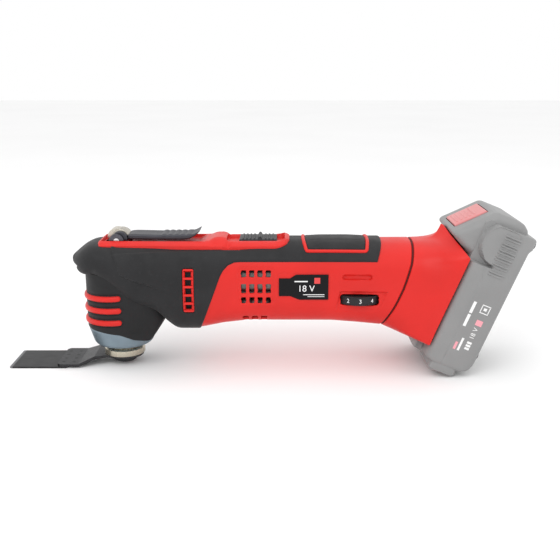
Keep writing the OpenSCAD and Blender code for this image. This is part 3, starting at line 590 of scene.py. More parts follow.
def skin_grid(proud):
    """The skin's left half: columns along the handle, rows from its lower edge to the middle of the top."""
    x = np.concatenate([NOSE_X + 3.6 * (1 - np.cos(np.linspace(0, math.pi / 2, 16))), np.arange(-29, -8, 0.7),
                        np.arange(-8, 44, 0.8), np.arange(44, 55.7, 0.45), np.linspace(55.7, 57.7, 14),
                        np.arange(58, 82, 0.55), np.arange(82, 126, 1.4), np.arange(126, 184.2, 0.8)])
    x = np.unique(np.round(x, 4))
    low = np.where(x < 55.95, -math.pi / 2, angle_at(x, table(BAND_LOW, x)))
    length = (math.pi / 2 - low) / math.pi * 95
    near = np.array([0, 0.1, 0.25, 0.45, 0.7, 1.0, 1.4])
    rows = np.linspace(0, 1, 92)[1:]
    d = np.concatenate([np.broadcast_to(near, (len(x), 7)), 1.4 + rows * (length[:, None] - 1.4)], 1)
    angle = low[:, None] + d / length[:, None] * (math.pi / 2 - low[:, None])
    xs = np.broadcast_to(x[:, None], angle.shape).copy()
    z = body_point(xs, angle, 0.0)[..., 2]
    xs -= (92 - z) * 0.34 * step(150, 184, xs)
    g = skin_growth(xs, z, proud)
    p = body_point(xs, angle, g)
    # the nose closes in a blunt tip, with a shallow notch under its beak
    tip = np.clip((xs - NOSE_X) / 1.8, 0, 1)
    shrink = np.sqrt(1 - (1 - tip) ** 2)
    p[..., 1] *= shrink
    p[..., 2] = TIP_Z + (p[..., 2] - TIP_Z) * shrink
    notch = np.exp(-((p[..., 2] - 74.2) / 1.3) ** 2) * (1 - step(-31.5, -24, xs))
    p[..., 0] += 1.6 * notch * shrink
    # flat shoulders beside the top cover
    y = np.abs(p[..., 1])
    edge = table(COVER_EDGE, xs)
    cap = edge - (y - 17.3) * (edge - 85.4) / 9.5 + 0.35
    share = step(-19, -11, xs) * (1 - step(112, 121, xs))
    p[..., 2] = p[..., 2] * (1 - share) + soft_min(p[..., 2], cap, 1.2) * share
    slot = cover_opening(xs, y)
    keep = (slot[:-1, :-1] > 0) | (slot[1:, 1:] > 0) | (z[:-1, :-1] < 80)
    return grid(p, keep=keep)


# ---- Red housing ----
def seam_x(angle):
    """Where the housing ends and the dock starts, for each angle round the body."""
    return table(SEAM, body_point(195.0, angle, 0.0)[..., 2])


def housing_relief(x, z, left, groove):
    """Hollows in the housing: the long groove, the dial's dish, the plate's seat and the flats round the vents."""
    dish = outline_distance(x, z, [(154, 59.8), (187.2, 59.8), (181.2, 44.6), (151, 44.6)])
    g = -groove * (1 - step(-0.8, 0.1, box_distance(x, z, *GROOVE_BOX)))
    if left:
        g = g - 1.5 * (1 - step(-1.3, 0.2, dish)) * step(42, 60, z) ** 0.5
    plate = box_distance(x, z, *PLATE_SEAT)
    g = g - 0.35 * (1 - step(-0.3, 0.5, plate))
    vents = box_distance(x, z, *VENT_FLAT)
    return g - 0.45 * (1 - step(-0.8, 0.4, vents))


def housing_half(left, groove, counts=(236, 150)):
    """Half of the red tube, from under the black skin to the slanted seam, with all its openings cut."""
    s = np.linspace(0, 1, counts[0])[:, None]
    angle = np.linspace(-math.pi / 2, math.pi / 2, counts[1])[None, :]
    z0 = body_point(120.0, angle, 0.0)[..., 2]
    x0, x1 = table(FRONT_LINE, z0) - 3.0, seam_x(angle) - SEAM_GAP
    xs = x0 + (x1 - x0) * s
    angle = np.broadcast_to(angle, xs.shape)
    flat = body_point(xs, angle, 0.0)
    y, z = flat[..., 1], flat[..., 2]
    g = housing_relief(xs, z, left, groove) - 0.5 * quarter(x1 - xs, 0.7) / 0.7
    p = body_point(xs, angle, g)
    tilt = np.degrees(angle)
    side = np.abs(tilt) < 62
    holes = [(side, box_distance(xs, z, VENT_X + VENT_PITCH * i, (low + high) / 2, 1.8, (high - low) / 2, 0.8))
             for i in range(4) for low, high in VENT_ROWS]
    holes += [(tilt < -40, box_distance(xs, y, 89.2 + 6.4 * i, -14, 2.2, 6.0, 1.2)) for i in range(3)]
    if left:
        holes.append((side, box_distance(xs, z, *DIAL_SLOT)))
    else:
        holes += [(np.abs(tilt) < 85, np.hypot(xs - bx, z - bz) - 3.1) for bx, bz, _ in BOSSES]
    d = np.min([np.where(where, hole, FAR) for where, hole in holes], axis=0)
    top = cover_opening(xs, y)
    p, keep = cut(p, d)
    keep &= (top[:-1, :-1] > 0) | (z[:-1, :-1] < 80)
    return grid(p, keep=keep)


def screw_wells():
    """Open cups in the right-hand shell, one for each screw: a funnel, a straight wall, and a floor."""
    parts = []
    for bx, bz, length in BOSSES:
        out = -side_point(bx, bz, -0.25)[1]
        line = [(3.25, out), (3.1, out - 0.4), (3.05, length - 1.9), (1.5, length - 1.95), (0.0, length - 1.95)]
        parts.append(turned(line, lambda a, b, h, x=bx, z=bz: np.stack([x + a, h, z + b], -1), 28))
    return parts


# ---- Dock ----
def eased(t, row):
    """A curve from 0 to 1 through six even steps, its corners averaged away."""
    at = np.linspace(0, 1, 6)
    e = sum(np.interp(np.clip(t + k, 0, 1), at, row) for k in np.linspace(-0.07, 0.07, 7)) / 7
    return (e - e[0]) / (e[-1] - e[0])


# the flare's shares in six even steps: back to front, the sides, the upper flanks and the tip
FLARES = [[0, 0.26, 0.5, 0.72, 0.88, 1], [0, 0.11, 0.36, 0.78, 0.98, 1], [0, 0.03, 0.11, 0.36, 0.74, 1],
          [0, 0.01, 0.05, 0.16, 0.5, 1]]


def dock_half(n=110, rows=70):
    """Half of the dock: the housing's end eased into the pack's rim, whose top narrows to a raised tip."""
    angle = np.linspace(-math.pi / 2, math.pi / 2, n)[None, :]
    t = np.linspace(0, 1, rows)[:, None]
    start = body_point(seam_x(angle) + SEAM_GAP, angle, 0.0)
    s = (angle + math.pi / 2) / math.pi
    rise = np.clip((s - 0.7) / 0.3, 0, 1)
    u = np.where(s < 0.22, 3 * (s / 0.22) ** 2, np.where(s < 0.7, 3 + 65 * (s - 0.22) / 0.48, 68 + 10.4 * rise))
    y = -PACK_HALF_W * np.minimum(np.minimum(1, 1.2 * np.abs(np.cos(angle)) ** 0.35), 1 - rise ** 1.5)
    rim = on_pack(-19 * rise, y, u)
    back, side, up, top = (eased(t, row) for row in FLARES)
    upper, tongue = step(0.2, 0.55, s), step(0.7, 0.95, s)
    side = back * (1 - upper) + side * upper
    rising = back * (1 - upper) + (up * (1 - tongue) + top * tongue) * upper
    share = np.stack(np.broadcast_arrays(back, side, rising), -1)
    lip = 0.5 * quarter(t * 32, 0.7) / 0.7
    inward = body_point(seam_x(angle) + SEAM_GAP, angle, -1.0) - start
    return grid(start * (1 - share) + rim * share + lip[..., None] * inward)


def seam_ring():
    """A dark band in the gap between the housing and the dock, just under the surface."""
    angle = np.linspace(-math.pi / 2, 1.5 * math.pi, 160, endpoint=False)[:, None]
    folded = np.where(angle > math.pi / 2, math.pi - angle, angle)
    x = seam_x(folded) + np.linspace(-1.2, 1.2, 3)[None, :]
    return grid(body_point(x, np.broadcast_to(angle, x.shape), -0.55), wrap_u=True)


# ---- Top cover ----
COVER_X = (-13.0, 119.6)
COVER_HALF_W = 17.0
COVER_FOOT = 86.7
SWITCH_FLOOR = 89.6
COVER_TOP = [(-13, 90.6), (-12, 91.7), (-10, 92.2), (50, 92), (60, 92), (64, 92.2), (67.6, 93.8), (69.5, 94.2),
             (73.5, 94.2), (75.6, 93.6), (77.5, 92.2), (80, 91.8), (110, 91.8), (113.5, 92.4), (116.5, 93.3),
             (119.6, 92.8)]


def cover_half(x):
    """Half width of the cover, its corners rounded in plan."""
    return COVER_HALF_W - quarter(x - COVER_X[0], 4.5) - quarter(COVER_X[1] - x, 9)


def cover_opening(x, y):
    """Above 0 outside the opening that the cover fills: its outline, half a millimetre smaller all round."""
    middle, reach = sum(COVER_X) / 2, (COVER_X[1] - COVER_X[0]) / 2
    return np.maximum(np.abs(y) - cover_half(x), np.abs(x - middle) - reach) + 0.5


def cover_height(x, y):
    """Height of the cover: a crowned bar with a hump, less the lever's well and ramp and the switch's well."""
    crown = np.abs(y) / cover_half(x)
    top = table(COVER_TOP, x) - 2.7 * np.clip((crown - 0.62) / 0.38, 0, 1) ** 2.2
    top = top - 2.2 * np.clip((crown - 0.55) / 0.45, 0, 1) * step(63, 68, x) * (1 - step(77, 80, x))
    ramp = np.interp(x, [56.5, 67.5, 69], [89.8, 94.4, 98])
    lever = step(-0.35, 0.35, box_distance(x, np.abs(y), *LEVER_WELL))
    switch = step(-0.35, 0.35, box_distance(x, np.abs(y), *SWITCH_WELL))
    top = np.where(lever < 1, np.minimum(top, ramp + (top - ramp) * lever), top)
    return np.where(switch < 1, np.minimum(top, SWITCH_FLOOR + (top - SWITCH_FLOOR) * switch), top)


def cover_parts():
    """The cover's top as a height over a fine grid, and a skirt down to the housing."""
    ends = 66.3 * np.sin(np.linspace(math.acos(0.08), math.pi / 2, 14))
    x = np.unique(np.round(np.concatenate([53.3 - ends, np.arange(-11.5, 118.3, 0.5), 53.3 + ends]), 4))
    rim = COVER_HALF_W - 0.06 * np.arange(8) ** 1.8
    y = np.unique(np.round(np.concatenate([rim, np.arange(0, 14.8, 0.45)]), 4))
    y = np.concatenate([-y[::-1], y[y > 0]])
    gx, gy = np.meshgrid(x, y, indexing="ij")
    gy = gy * cover_half(gx) / COVER_HALF_W
    top = np.stack([gx, gy, cover_height(gx, gy)], -1)
    hole = box_distance(gx, np.abs(gy), 0, 0, 9.2, 11.0, 1.0)
    top, keep = cut(top, hole)
    edge = np.concatenate([top[0, :-1], top[:-1, -1], top[-1, :0:-1], top[:0:-1, 0]])
    down = edge.copy()
    down[:, 2] = COVER_FOOT
    return [grid(top, keep=keep), grid(np.stack([edge, down], 1), wrap_u=True)]


# ---- Lever and switch ----
PIVOT = (1.9, 92.4)


def lever_arm():
    """A bar of rounded sections whose height and width follow tables, with finger ridges."""
    x = np.concatenate([np.arange(6.6, 28, 0.8), np.arange(28, 53, 0.25), np.arange(53, 57.9, 0.35)])
    top = np.interp(x, [6, 9, 12, 30, 50, 53.5, 56, 57.8], [95.2, 95.9, 96.1, 95.6, 95.7, 96.4, 97.6, 98.6])
    top = top + 0.6 * np.abs(np.sin((x - 30.5) * math.pi / 4.3)) * (x > 30.5) * (x < 52)
    low = np.interp(x, [6, 46, 50.5, 54.5, 57.8], [91.8, 91.7, 92.5, 94.8, 98.0])
    half = np.interp(x, [6, 9, 14, 30, 50, 56.5, 57.8], [8.0, 8.9, 9.2, 9.4, 9.6, 9.0, 8.2])
    a = full_turn(64)[None, :]
    r = (np.abs(np.cos(a)) ** 5 + np.abs(np.sin(a)) ** 5) ** -0.2
    ends = np.clip(np.minimum(x - x[0], x[-1] - x) / 0.5, 0, 1)[:, None] ** 0.5
    y = half[:, None] * r * np.cos(a) * (0.93 + 0.07 * ends)
    dish = 0.35 * (1 - (y / half[:, None]) ** 2) * (np.sin(a) > 0)
    z = (top + low)[:, None] / 2 + (top - low)[:, None] / 2 * r * np.sin(a) * (0.4 + 0.6 * ends) - dish
    return capped(np.stack(np.broadcast_arrays(x[:, None], y, z), -1))


def drum(x, z, y0, y1, r, round_by=0.6, turns=72):
    """A round cheek across the tool, its rims rolled over, closed at both ends."""
    k = np.linspace(0, math.pi / 2, 5)
    ys = np.concatenate([y0 + round_by * (1 - np.cos(k)), y1 - round_by * (1 - np.cos(k[::-1]))])
    rs = np.concatenate([r - round_by + round_by * np.sin(k), r - round_by + round_by * np.sin(k[::-1])])
    ys, rs = np.concatenate([[y0], ys, [y1]]), np.concatenate([[0], rs, [0]])
    a = full_turn(turns)[:, None]
    return grid(np.stack(np.broadcast_arrays(x + rs * np.cos(a), ys, z + rs * np.sin(a)), -1), wrap_u=True)


def slider_relief(a, _):
    """Ridges across the slider, with one tall nub in the middle."""
    ridges = 0.6 * np.clip(np.cos(a * 2 * math.pi / 2.6) * 2, 0, 1) * (np.abs(a - 1.3) > 3.0) * (np.abs(a) < 12)
    return ridges + 1.9 * np.exp(-((a - 1.3) / 1.25) ** 4)


# ---- Grip pad, its trim and the plates ----
PAD_MIDDLE = 150.0
PLATE_PRINT = 0.5
# printed bars: from and to along the handle, then in height
PLATE_BARS = [(123, 132, 66.3, 67.1), (129, 143.5, 57.3, 57.8), (132, 143.5, 56, 56.4)]
PLATE_SQUARE = (136.5, 140.5, 65.2, 69.2)


def pad_ends(z):
    """Where the pad's slanted ends lie along the handle at each height."""
    return np.interp(z, [85, 95], [131.6, 127.6]), np.interp(z, [85, 95], [172.0, 175.0])


def pad_grid():
    """The body's surface between the pad's ends and both shoulders, crowned and rolled off at its edges."""
    s = bunched(90)[:, None] * 0.5 + 0.5
    k = bunched(90)[None, :]
    angle = math.pi / 2 + k * (math.pi / 2 - float(angle_at(PAD_MIDDLE, 86.3)))
    z = body_point(PAD_MIDDLE, angle, 0.0)[..., 2]
    x0, x1 = pad_ends(z)
    xs = x0 + 0.9 + (x1 - x0 - 1.8) * s
    angle = np.broadcast_to(angle, xs.shape)
    d = np.minimum(np.minimum(s, 1 - s) * 40, (1 - np.abs(k)) * 30)
    g = 1.3 - 1.3 * quarter(d, 1.5) / 1.5 + 0.5 * step(0, 12, d)
    g = g - 0.25 * (1 - step(0.25, 0.55, np.abs(np.abs(k) - 0.42) * 30)) * step(3, 4, d)
    return grid(body_point(xs, angle, g))


def pad_trim_path():
    """A closed line round the pad on the body's surface, its corners rounded by averaging."""
    low = float(angle_at(PAD_MIDDLE, 85.6))
    high = math.pi - low
    across, along = np.linspace(low, high, 90), np.linspace(0, 1, 80)
    z = body_point(PAD_MIDDLE, across, 0.0)[..., 2]
    x0, x1 = pad_ends(z)
    edge = x0[0] + (x1[0] - x0[0]) * along
    xs = np.concatenate([edge, x1, edge[::-1], x0[::-1]])
    an = np.concatenate([np.full(80, low), across, np.full(80, high), across[::-1]])
    keep = np.concatenate([[True], (np.abs(np.diff(xs)) + np.abs(np.diff(an))) > 1e-9])
    xs, an = xs[keep], an[keep]
    for _ in range(10):
        xs, an = smoothed(xs), smoothed(an)
    return body_point(xs, an, 0.75)


def plate_grid(g0):
    """A thin plate on the housing's side between two stepped edges, its rim rolled down."""
    x = 112.3 + 33.9 * (0.5 + 0.5 * bunched(70))[:, None]
    low = np.interp(x, [112, 120, 126.2, 150], [56.2, 56.2, 53.6, 53.6])
    high = np.interp(x, [112, 120, 124, 150], [68.9, 68.9, 71.5, 71.5])
    z = low + (high - low) * (0.5 + 0.5 * bunched(40))[None, :]
    d = np.minimum(np.minimum(x - 112.3, 146.2 - x), np.minimum(z - low, high - z))
    return grid(side_point(np.broadcast_to(x, z.shape), z, g0 - (g0 + 0.4) * quarter(d, 0.5) / 0.5))


def side_patch(x0, x1, z0, z1):
    """A printed bar on the plate at the housing's side."""
    x, z = np.broadcast_arrays(np.linspace(x0, x1, 10)[:, None], np.linspace(z0, z1, 10)[None, :])
    return grid(side_point(x, z, PLATE_PRINT))


def letters(text, size, to_space):
    """Type made a mesh, cut into triangles, and carried on to a surface. Returns vertices and faces."""
    curve = bpy.data.curves.new("type", "FONT")
    curve.body, curve.size = text, size
    curve.align_x, curve.align_y = "CENTER", "CENTER"
    obj = bpy.data.objects.new("type", curve)
    bpy.context.scene.collection.objects.link(obj)
    bpy.context.view_layer.update()
    mesh = bpy.data.meshes.new_from_object(obj.evaluated_get(bpy.context.evaluated_depsgraph_get()))
    bpy.data.objects.remove(obj)
    bpy.data.curves.remove(curve)
    bm = bmesh.new()
    bm.from_mesh(mesh)
    bmesh.ops.triangulate(bm, faces=bm.faces)
    bm.verts.ensure_lookup_table()
    flat = np.array([v.co[:2] for v in bm.verts])
    tris = np.array([[v.index for v in f.verts] + [f.verts[2].index] for f in bm.faces])
    bm.free()
    bpy.data.meshes.remove(mesh)
    return to_space(flat[:, 0], flat[:, 1]), tris


def ink(name, parts, finish, body):
    """Printed shapes: triangles and quads laid on a surface with no thickness, facing out."""
    points, faces, start = [], [], 0
    for p, q in parts:
        points.append(p)
        faces += [list(dict.fromkeys(f)) for f in (q + start).tolist()]
        start += len(p)
    points = (np.concatenate(points) + [SPINDLE_X, 0, 0]) / 1000
    mesh = bpy.data.meshes.new(name)
    mesh.from_pydata(points.tolist(), [], faces)
    return place(name, mesh, finish, body)


# ---- Dial, boot and collar ----
def dial_wheel():
    """A thumb wheel with sixty shallow scallops round it, smooth in a middle band for the figures."""
    k = np.linspace(0, math.pi / 2, 4)
    edge = DIAL_R - 0.5
    z = np.concatenate([[49.9], 50.4 - 0.5 * np.cos(k), [51.1, 51.3, 54.7, 54.9], 55.6 + 0.5 * np.sin(k), [56.1]])
    r = np.concatenate([[1.6], edge + 0.5 * np.sin(k), [DIAL_R] * 4, edge + 0.5 * np.cos(k), [1.6]])
    knurl = np.array([0, 1, 1, 1, 1, 1, 0.15, 0.15, 1, 1, 1, 1, 1, 0])

    def scallops(a, i):
        return 1 - 0.024 * knurl[i] * (0.5 + 0.5 * np.cos(60 * a)) ** 0.6

    return lathe(np.stack([r, z], 1), 480, DIAL, scallops)


def boot_edge(x):
    """The boot's waved lower edge."""
    wave = [(-30, 29), (-12, 28.4), (2, 27), (11, 22.6), (22, 21.6), (40, 21.8)]
    return sum(table(wave, x + k) for k in (-1.5, -0.7, 0, 0.7, 1.5)) / 5


def boot_radius(angle, z):
    """Distance from the spindle's axis to the boot: a drum, or the slant-ended rear bulge where it is further."""
    drum_r = np.interp(z, [17, 27, 90], [22.2, 25, 25])
    c, s = np.cos(angle), np.sin(angle)
    round_r = 12 * c + np.sqrt(np.maximum(484 - 144 * s * s, 1))
    flat_r = 22 / np.maximum(np.abs(s), 1e-3)
    bulge = np.where((flat_r * c < 12) & (c > 0), flat_r, round_r)
    end = np.interp(z, [17, 40, 90], [19, 35.6, 36.4]) / np.maximum(c, 0.05)
    bulge = np.where(c > 0, soft_min(bulge, end, 3.0), 10.0)
    return -soft_min(-drum_r, -bulge, 2.0)


def rib_height(x, i):
    """Height of a rib's middle: it drops a little towards the front."""
    return 36.6 + 8.7 * i - 0.069 * (3.7 - x)


def boot_grid():
    """The boot round the spindle's axis, its lower lip rolled in and furrows pressed round the ribs."""
    a = np.linspace(-math.pi, math.pi, 300, endpoint=False)[:, None]
    low = boot_edge(24 * np.cos(a))
    for _ in range(2):
        low = boot_edge(boot_radius(a, low + 1) * np.cos(a))
    t = np.concatenate([[0, 0.15, 0.35, 0.6, 0.9, 1.3], np.linspace(1.9, 47, 105)])[None, :]
    z = low + t * (70 - low) / 47
    r = boot_radius(a, z)
    d = z - low
    r = r - 1.0 * quarter(d, 1.1) / 1.1
    x = r * np.cos(a)
    for i in range(3):
        rim = box_distance(-x, z - rib_height(x, i), 30, 0, 34.0, 2.1, 2.0)
        r = r - 0.6 * np.exp(-((rim - 0.5) / 0.6) ** 2)
    return grid(polar(r, a, z), wrap_u=True)


def rib(i):
    """A rounded bar carried round the front of the boot, tapering to nothing at both ends."""
    end = math.acos(3.7 / 25.4)
    a = np.linspace(end, 2 * math.pi - end, 150)[:, None]
    d = np.minimum(a - end, 2 * math.pi - end - a) * 25.6
    k = 1 - quarter(d, 2.2) / 2.2
    turn = full_turn(20)[None, :]
    r = 24.9 + (1.6 * k + 0.02) * np.cos(turn)
    swell = np.sign(np.sin(turn)) * np.abs(np.sin(turn)) ** 0.75
    z = rib_height(r * np.cos(a), i) + 2.0 * np.maximum(k, 0.02) * swell
    return capped(polar(r, a, z))


def ladder_grid():
    """The ladder vent: a plate proud of the skin, with a rolled rim and five slots cut through."""
    cx, cz, hx, hz = VENT
    x, z = np.linspace(-1, 1, 70)[:, None] * hx + cx, np.linspace(-1, 1, 190)[None, :] * hz + cz
    x, z = np.broadcast_arrays(x, z)
    rim = box_distance(x, z, cx, cz, hx, hz, 1.3)
    g = 1.5 - 1.8 * quarter(np.maximum(-rim, 0), 0.7) / 0.7
    d = np.min([box_distance(x, z, cx + 0.05, 49 + 5.6 * i, 3.25, 2.15, 0.6) for i in range(5)], axis=0)
    p, keep = cut(side_point(x, z, g), d)
    keep &= rim[:-1, :-1] < 0.05
    return grid(p, keep=keep)


# ---- Battery pack ----
THUMB = (16.5, 83.0)


def pack_section(u_rows, centre_v, half_v, half_y, n, power=9.0):
    """Closed rounded rectangles, one for each row: |y/a|^p + |v/b|^p = 1 met by rays bunched at the corners."""
    a = full_turn(n)
    a = a - 0.1 * np.sin(4 * a)
    c, s = np.cos(a)[None, :], np.sin(a)[None, :]
    diag = np.sqrt(half_v[:, None] ** 2 + half_y[:, None] ** 2)
    c, s = c * diag, s * diag
    r = ((np.abs(c) / half_y[:, None]) ** power + (np.abs(s) / half_v[:, None]) ** power) ** (-1 / power)
    return centre_v[:, None] + r * s, r * c, np.broadcast_to(u_rows[:, None], r.shape)


def pack_slab():
    """The pack's main block along u: rounded ends, a stepped heel, the split line and ridged thumb hollows."""
    u = np.concatenate([-8 + 3.0 * (1 - np.cos(np.linspace(0, math.pi / 2, 9))), np.linspace(-4.6, 93.4, 210),
                        95.5 - 2.0 * (1 - np.cos(np.linspace(math.pi / 2, 0, 8)))])
    front = np.interp(u, [-8, -6.5, -4, -2, 96], [5.5, 1.6, 0.6, 0.3, 0.3])
    back = np.interp(u, [-8, -7.4, -6, -4.4, -1, 4, 84.6, 86, 88, 95.5],
                     [30, 31.5, 33.4, 34.8, 36, 36.4, 36.4, 36.8, 38, 38])
    ends = np.minimum(quarter(u + 8, 3.0) * 0.55 + quarter(95.5 - u, 2.0), 3)
    v, y, uu = pack_section(u, (front + back) / 2, (back - front) / 2 - ends, PACK_HALF_W - ends, 260)
    side = step(35, 35.7, np.abs(y))
    from_thumb = np.hypot(v - THUMB[0], uu - THUMB[1])
    below = np.hypot(v - THUMB[0] - np.clip((THUMB[1] - uu) / 17, 0, 1) * 8, uu - np.clip(uu, 66, THUMB[1]))
    hollow = np.minimum(from_thumb, below) - 14.4
    fade = 1 - step(20, 33, v)
    depth = 1.3 * (1 - step(-1.6, 0.2, hollow)) * fade * step(50, 72, uu)
    ridges = np.zeros_like(v)
    for centre in (90.0, 84.6, 79.8, 75.0, 69.8, 64.2):
        for shift in (-0.95, 0.95):
            bar = box_distance(v, uu, 21.0, centre + shift, 5.6, 0.55, 0.5)
            ridges = np.maximum(ridges, 1.1 * (1 - step(-0.35, 0.45, bar)))
    split = 0.45 * np.exp(-((v - 13.0) / 0.28) ** 2) * (uu < 68)
    y = y - np.sign(y) * side * (depth - ridges + split)
    corner = step(-0.8, 0.6, from_thumb - 14.3) * step(66.5, 67.5, uu) * (1 - step(15.5, 17.5, v))
    y = np.clip(y, -PACK_HALF_W + 5.5 * corner, PACK_HALF_W - 5.5 * corner)
    return capped(on_pack(v, y, uu))


HUMP = [(0.6, 68.7), (-14, 76.9), (-14.9, 77.6), (-15.1, 79), (-14.4, 80.6), (-12.6, 82.3), (3.2, 99.4),
        (5.2, 101.4), (7.5, 102.2), (23, 102.2), (27, 101.2), (30.6, 98.6), (33, 94), (33.6, 84), (20, 70)]
LATCH_AT = (-13.3, 82.0)
BUTTON_Z = 12.0
LATCH_C, LATCH_S = math.cos(math.radians(43.2)), math.sin(math.radians(43.2))


def latch_space(x, y, z):
    """A point of the latch's frame, x into the pack and z up the slope, put in the tool's space."""
    return on_pack(LATCH_AT[0] + x * LATCH_C + z * LATCH_S, y, LATCH_AT[1] - x * LATCH_S + z * LATCH_C)


def pack_hump():
    """The latch's head: its side outline, drawn in at both flanks, with the button's window."""
    line = np.array(HUMP)
    middle = np.array([8.0, 86.0])
    angle = full_turn(260)
    corner = np.arctan2(line[:, 1] - middle[1], line[:, 0] - middle[0]) % (2 * math.pi)
    order = np.argsort(corner)
    line, corner = line[order], corner[order]
    ax, ay = np.append(line[:, 0], line[0, 0]), np.append(line[:, 1], line[0, 1])
    ca = np.append(corner, corner[0] + 2 * math.pi)
    seg = (np.searchsorted(ca, np.where(angle < ca[0], angle + 2 * math.pi, angle), side="right") - 1) % len(line)
    ex, ey = ax[seg + 1] - ax[seg], ay[seg + 1] - ay[seg]
    dx, dy = np.cos(angle), np.sin(angle)
    reach = ((ax[seg] - middle[0]) * ey - (ay[seg] - middle[1]) * ex) / (dx * ey - dy * ex)
    for _ in range(2):
        reach = smoothed(reach)
    y = np.concatenate([np.linspace(-30, -22, 34), np.linspace(-21.6, 21.6, 92), np.linspace(22, 30, 34)])
    fall = quarter(30 - np.abs(y), 6.0)
    r = reach[None, :] - fall[:, None]
    v, u = middle[0] + r * dx, middle[1] + r * dy
    yy = np.broadcast_to(y[:, None], v.shape)
    dv, du = v - LATCH_AT[0], u - LATCH_AT[1]
    lx, lz = dv * LATCH_C - du * LATCH_S, dv * LATCH_S + du * LATCH_C
    d = np.where(np.abs(lx) < 3, box_distance(lz, yy, BUTTON_Z, 0, 12.5, 15.5, 1.5), FAR)
    p, keep = cut(on_pack(v, yy, u), d)
    parts = [grid(np.concatenate([p, p[:, :1]], 1), keep=np.hstack([keep, np.ones((keep.shape[0], 1), bool)]))]
    for i in (0, -1):
        ring = np.stack([p[i], np.broadcast_to(p[i].mean(0), p[i].shape)], 1)
        parts.append(grid(ring, wrap_u=True))
    return parts


def latch_well():
    """The shallow box behind the button's window."""
    a = np.array([(-12.6, -15.6), (12.6, -15.6), (12.6, 15.6), (-12.6, 15.6)])
    depth = np.array([0.3, 5.2, 5.2])
    scale = np.array([1.0, 1.0, 0.0])
    z, y = BUTTON_Z + a[:, 0][:, None] * scale, a[:, 1][:, None] * scale
    return grid(latch_space(np.broadcast_to(depth, z.shape), y, z), wrap_u=True)


def pack_block(v, y, u, r):
    """A block with rounded edges in the pack's frame: rounded rectangles along u, drawn in at both ends."""
    k = np.linspace(0, math.pi / 2, 7)
    us = np.concatenate([u[0] + r * (1 - np.cos(k)), u[1] - r * (1 - np.cos(k[::-1]))])
    ins = np.concatenate([r * (1 - np.sin(k)), r * (1 - np.sin(k[::-1]))])
    half_v, half_y = np.full(len(us), (v[1] - v[0]) / 2) - ins, np.full(len(us), (y[1] - y[0]) / 2) - ins
    vv, yy, uu = pack_section(us, np.full(len(us), (v[0] + v[1]) / 2), half_v, half_y, 88, 12.0)
    return capped(on_pack(vv, yy + (y[0] + y[1]) / 2, uu))


def button_relief(a, b):
    """Ridges across the middle of the release button."""
    return 0.55 * np.clip(np.sin(a * 2 * math.pi / 3.2) * 1.6, 0, 1) * (np.abs(b) < 10.5) * (np.abs(a + 1.5) < 8)


# printed bars on the pack's left side: from and to along v, then along u
WHITE_BARS = [(14.9, 17.0, 24, 33), (14.9, 17.0, 34, 42.5), (18.6, 20.2, 6.5, 16), (23, 26.4, 9, 10.6),
              (23, 26.4, 11.2, 12.8), (23, 26.4, 13.4, 15), (21.4, 27.6, 36.4, 37), (21.4, 27.6, 42, 42.6),
              (21.4, 22, 37.2, 41.8), (27, 27.6, 37.2, 41.8), (23.4, 25.6, 38.6, 40.6)]
PINK_BARS = [(22.4, 27, 27.4, 31.4), (15.6, 17.4, 6.5, 12)]


def pack_bar(v0, v1, u0, u1):
    """A printed bar on the pack's left side."""
    v, u = np.meshgrid(np.linspace(v0, v1, 3), np.linspace(u0, u1, 3), indexing="ij")
    return grid(on_pack(v, np.full(v.shape, PRINT_Y), u))


# ---- Sidebar settings ----
COLOUR = {"subtype": "COLOR_GAMMA", "size": 3, "min": 0, "max": 1}


class MultiToolSizes(bpy.types.PropertyGroup):
    """Sizes of the shells, in millimetres."""

    proud: bpy.props.FloatProperty(name="Skin height", default=1.0, min=0.6, max=1.4,
                                   description="How far the black skin stands over the red shell, mm")
    wall: bpy.props.FloatProperty(name="Wall", description="Thickness of the plastic shells, mm",
                                  default=2.4, min=1.6, max=2.8)
    groove: bpy.props.FloatProperty(name="Groove depth", default=1.9, min=0.3, max=2.0,
                                    description="Depth of the long groove over the dial, mm")
    type_size: bpy.props.FloatProperty(name="Type size", description="Height of the figures on the plate, mm",
                                       default=6.2, min=3, max=8)


class MultiToolColours(bpy.types.PropertyGroup):
    """Colours of the finishes, as they look on screen."""

    shell_red: bpy.props.FloatVectorProperty(
        name="Shell red", description="Housing, cover, dock and ribs",
        default=(0.83, 0.15, 0.13), **COLOUR)
    grip_black: bpy.props.FloatVectorProperty(
        name="Grip black", description="Rubber skin, boot and pad",
        default=(0.15, 0.15, 0.155), **COLOUR)
    control_grey: bpy.props.FloatVectorProperty(
        name="Control grey", description="Switch, dial and small plastic parts",
        default=(0.15, 0.15, 0.16), **COLOUR)
    lever_grey: bpy.props.FloatVectorProperty(
        name="Lever grey", description="Cast release lever",
        default=(0.3, 0.3, 0.32), **COLOUR)
    collar_alloy: bpy.props.FloatVectorProperty(
        name="Collar alloy", description="Gearbox collar",
        default=(0.54, 0.6, 0.64), **COLOUR)
    blade_grey: bpy.props.FloatVectorProperty(
        name="Blade grey", description="Blued blade and holder",
        default=(0.2, 0.2, 0.205), **COLOUR)
    pack_grey: bpy.props.FloatVectorProperty(
        name="Pack grey", description="Battery pack's case",
        default=(0.55, 0.55, 0.55), **COLOUR)
    latch_pink: bpy.props.FloatVectorProperty(
        name="Latch pink", description="Battery pack's release button",
        default=(0.84, 0.54, 0.54), **COLOUR)


class MULTITOOL_OT_finishes(bpy.types.Operator):
    """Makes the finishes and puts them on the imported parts"""

    bl_idname = "multitool.finishes"
    bl_label = "Finishes"
    bl_options = {"REGISTER", "UNDO"}

    def execute(self, context):
        make_finishes(context.scene.multitool_colours)
        dress_nodes()
        return {"FINISHED"}


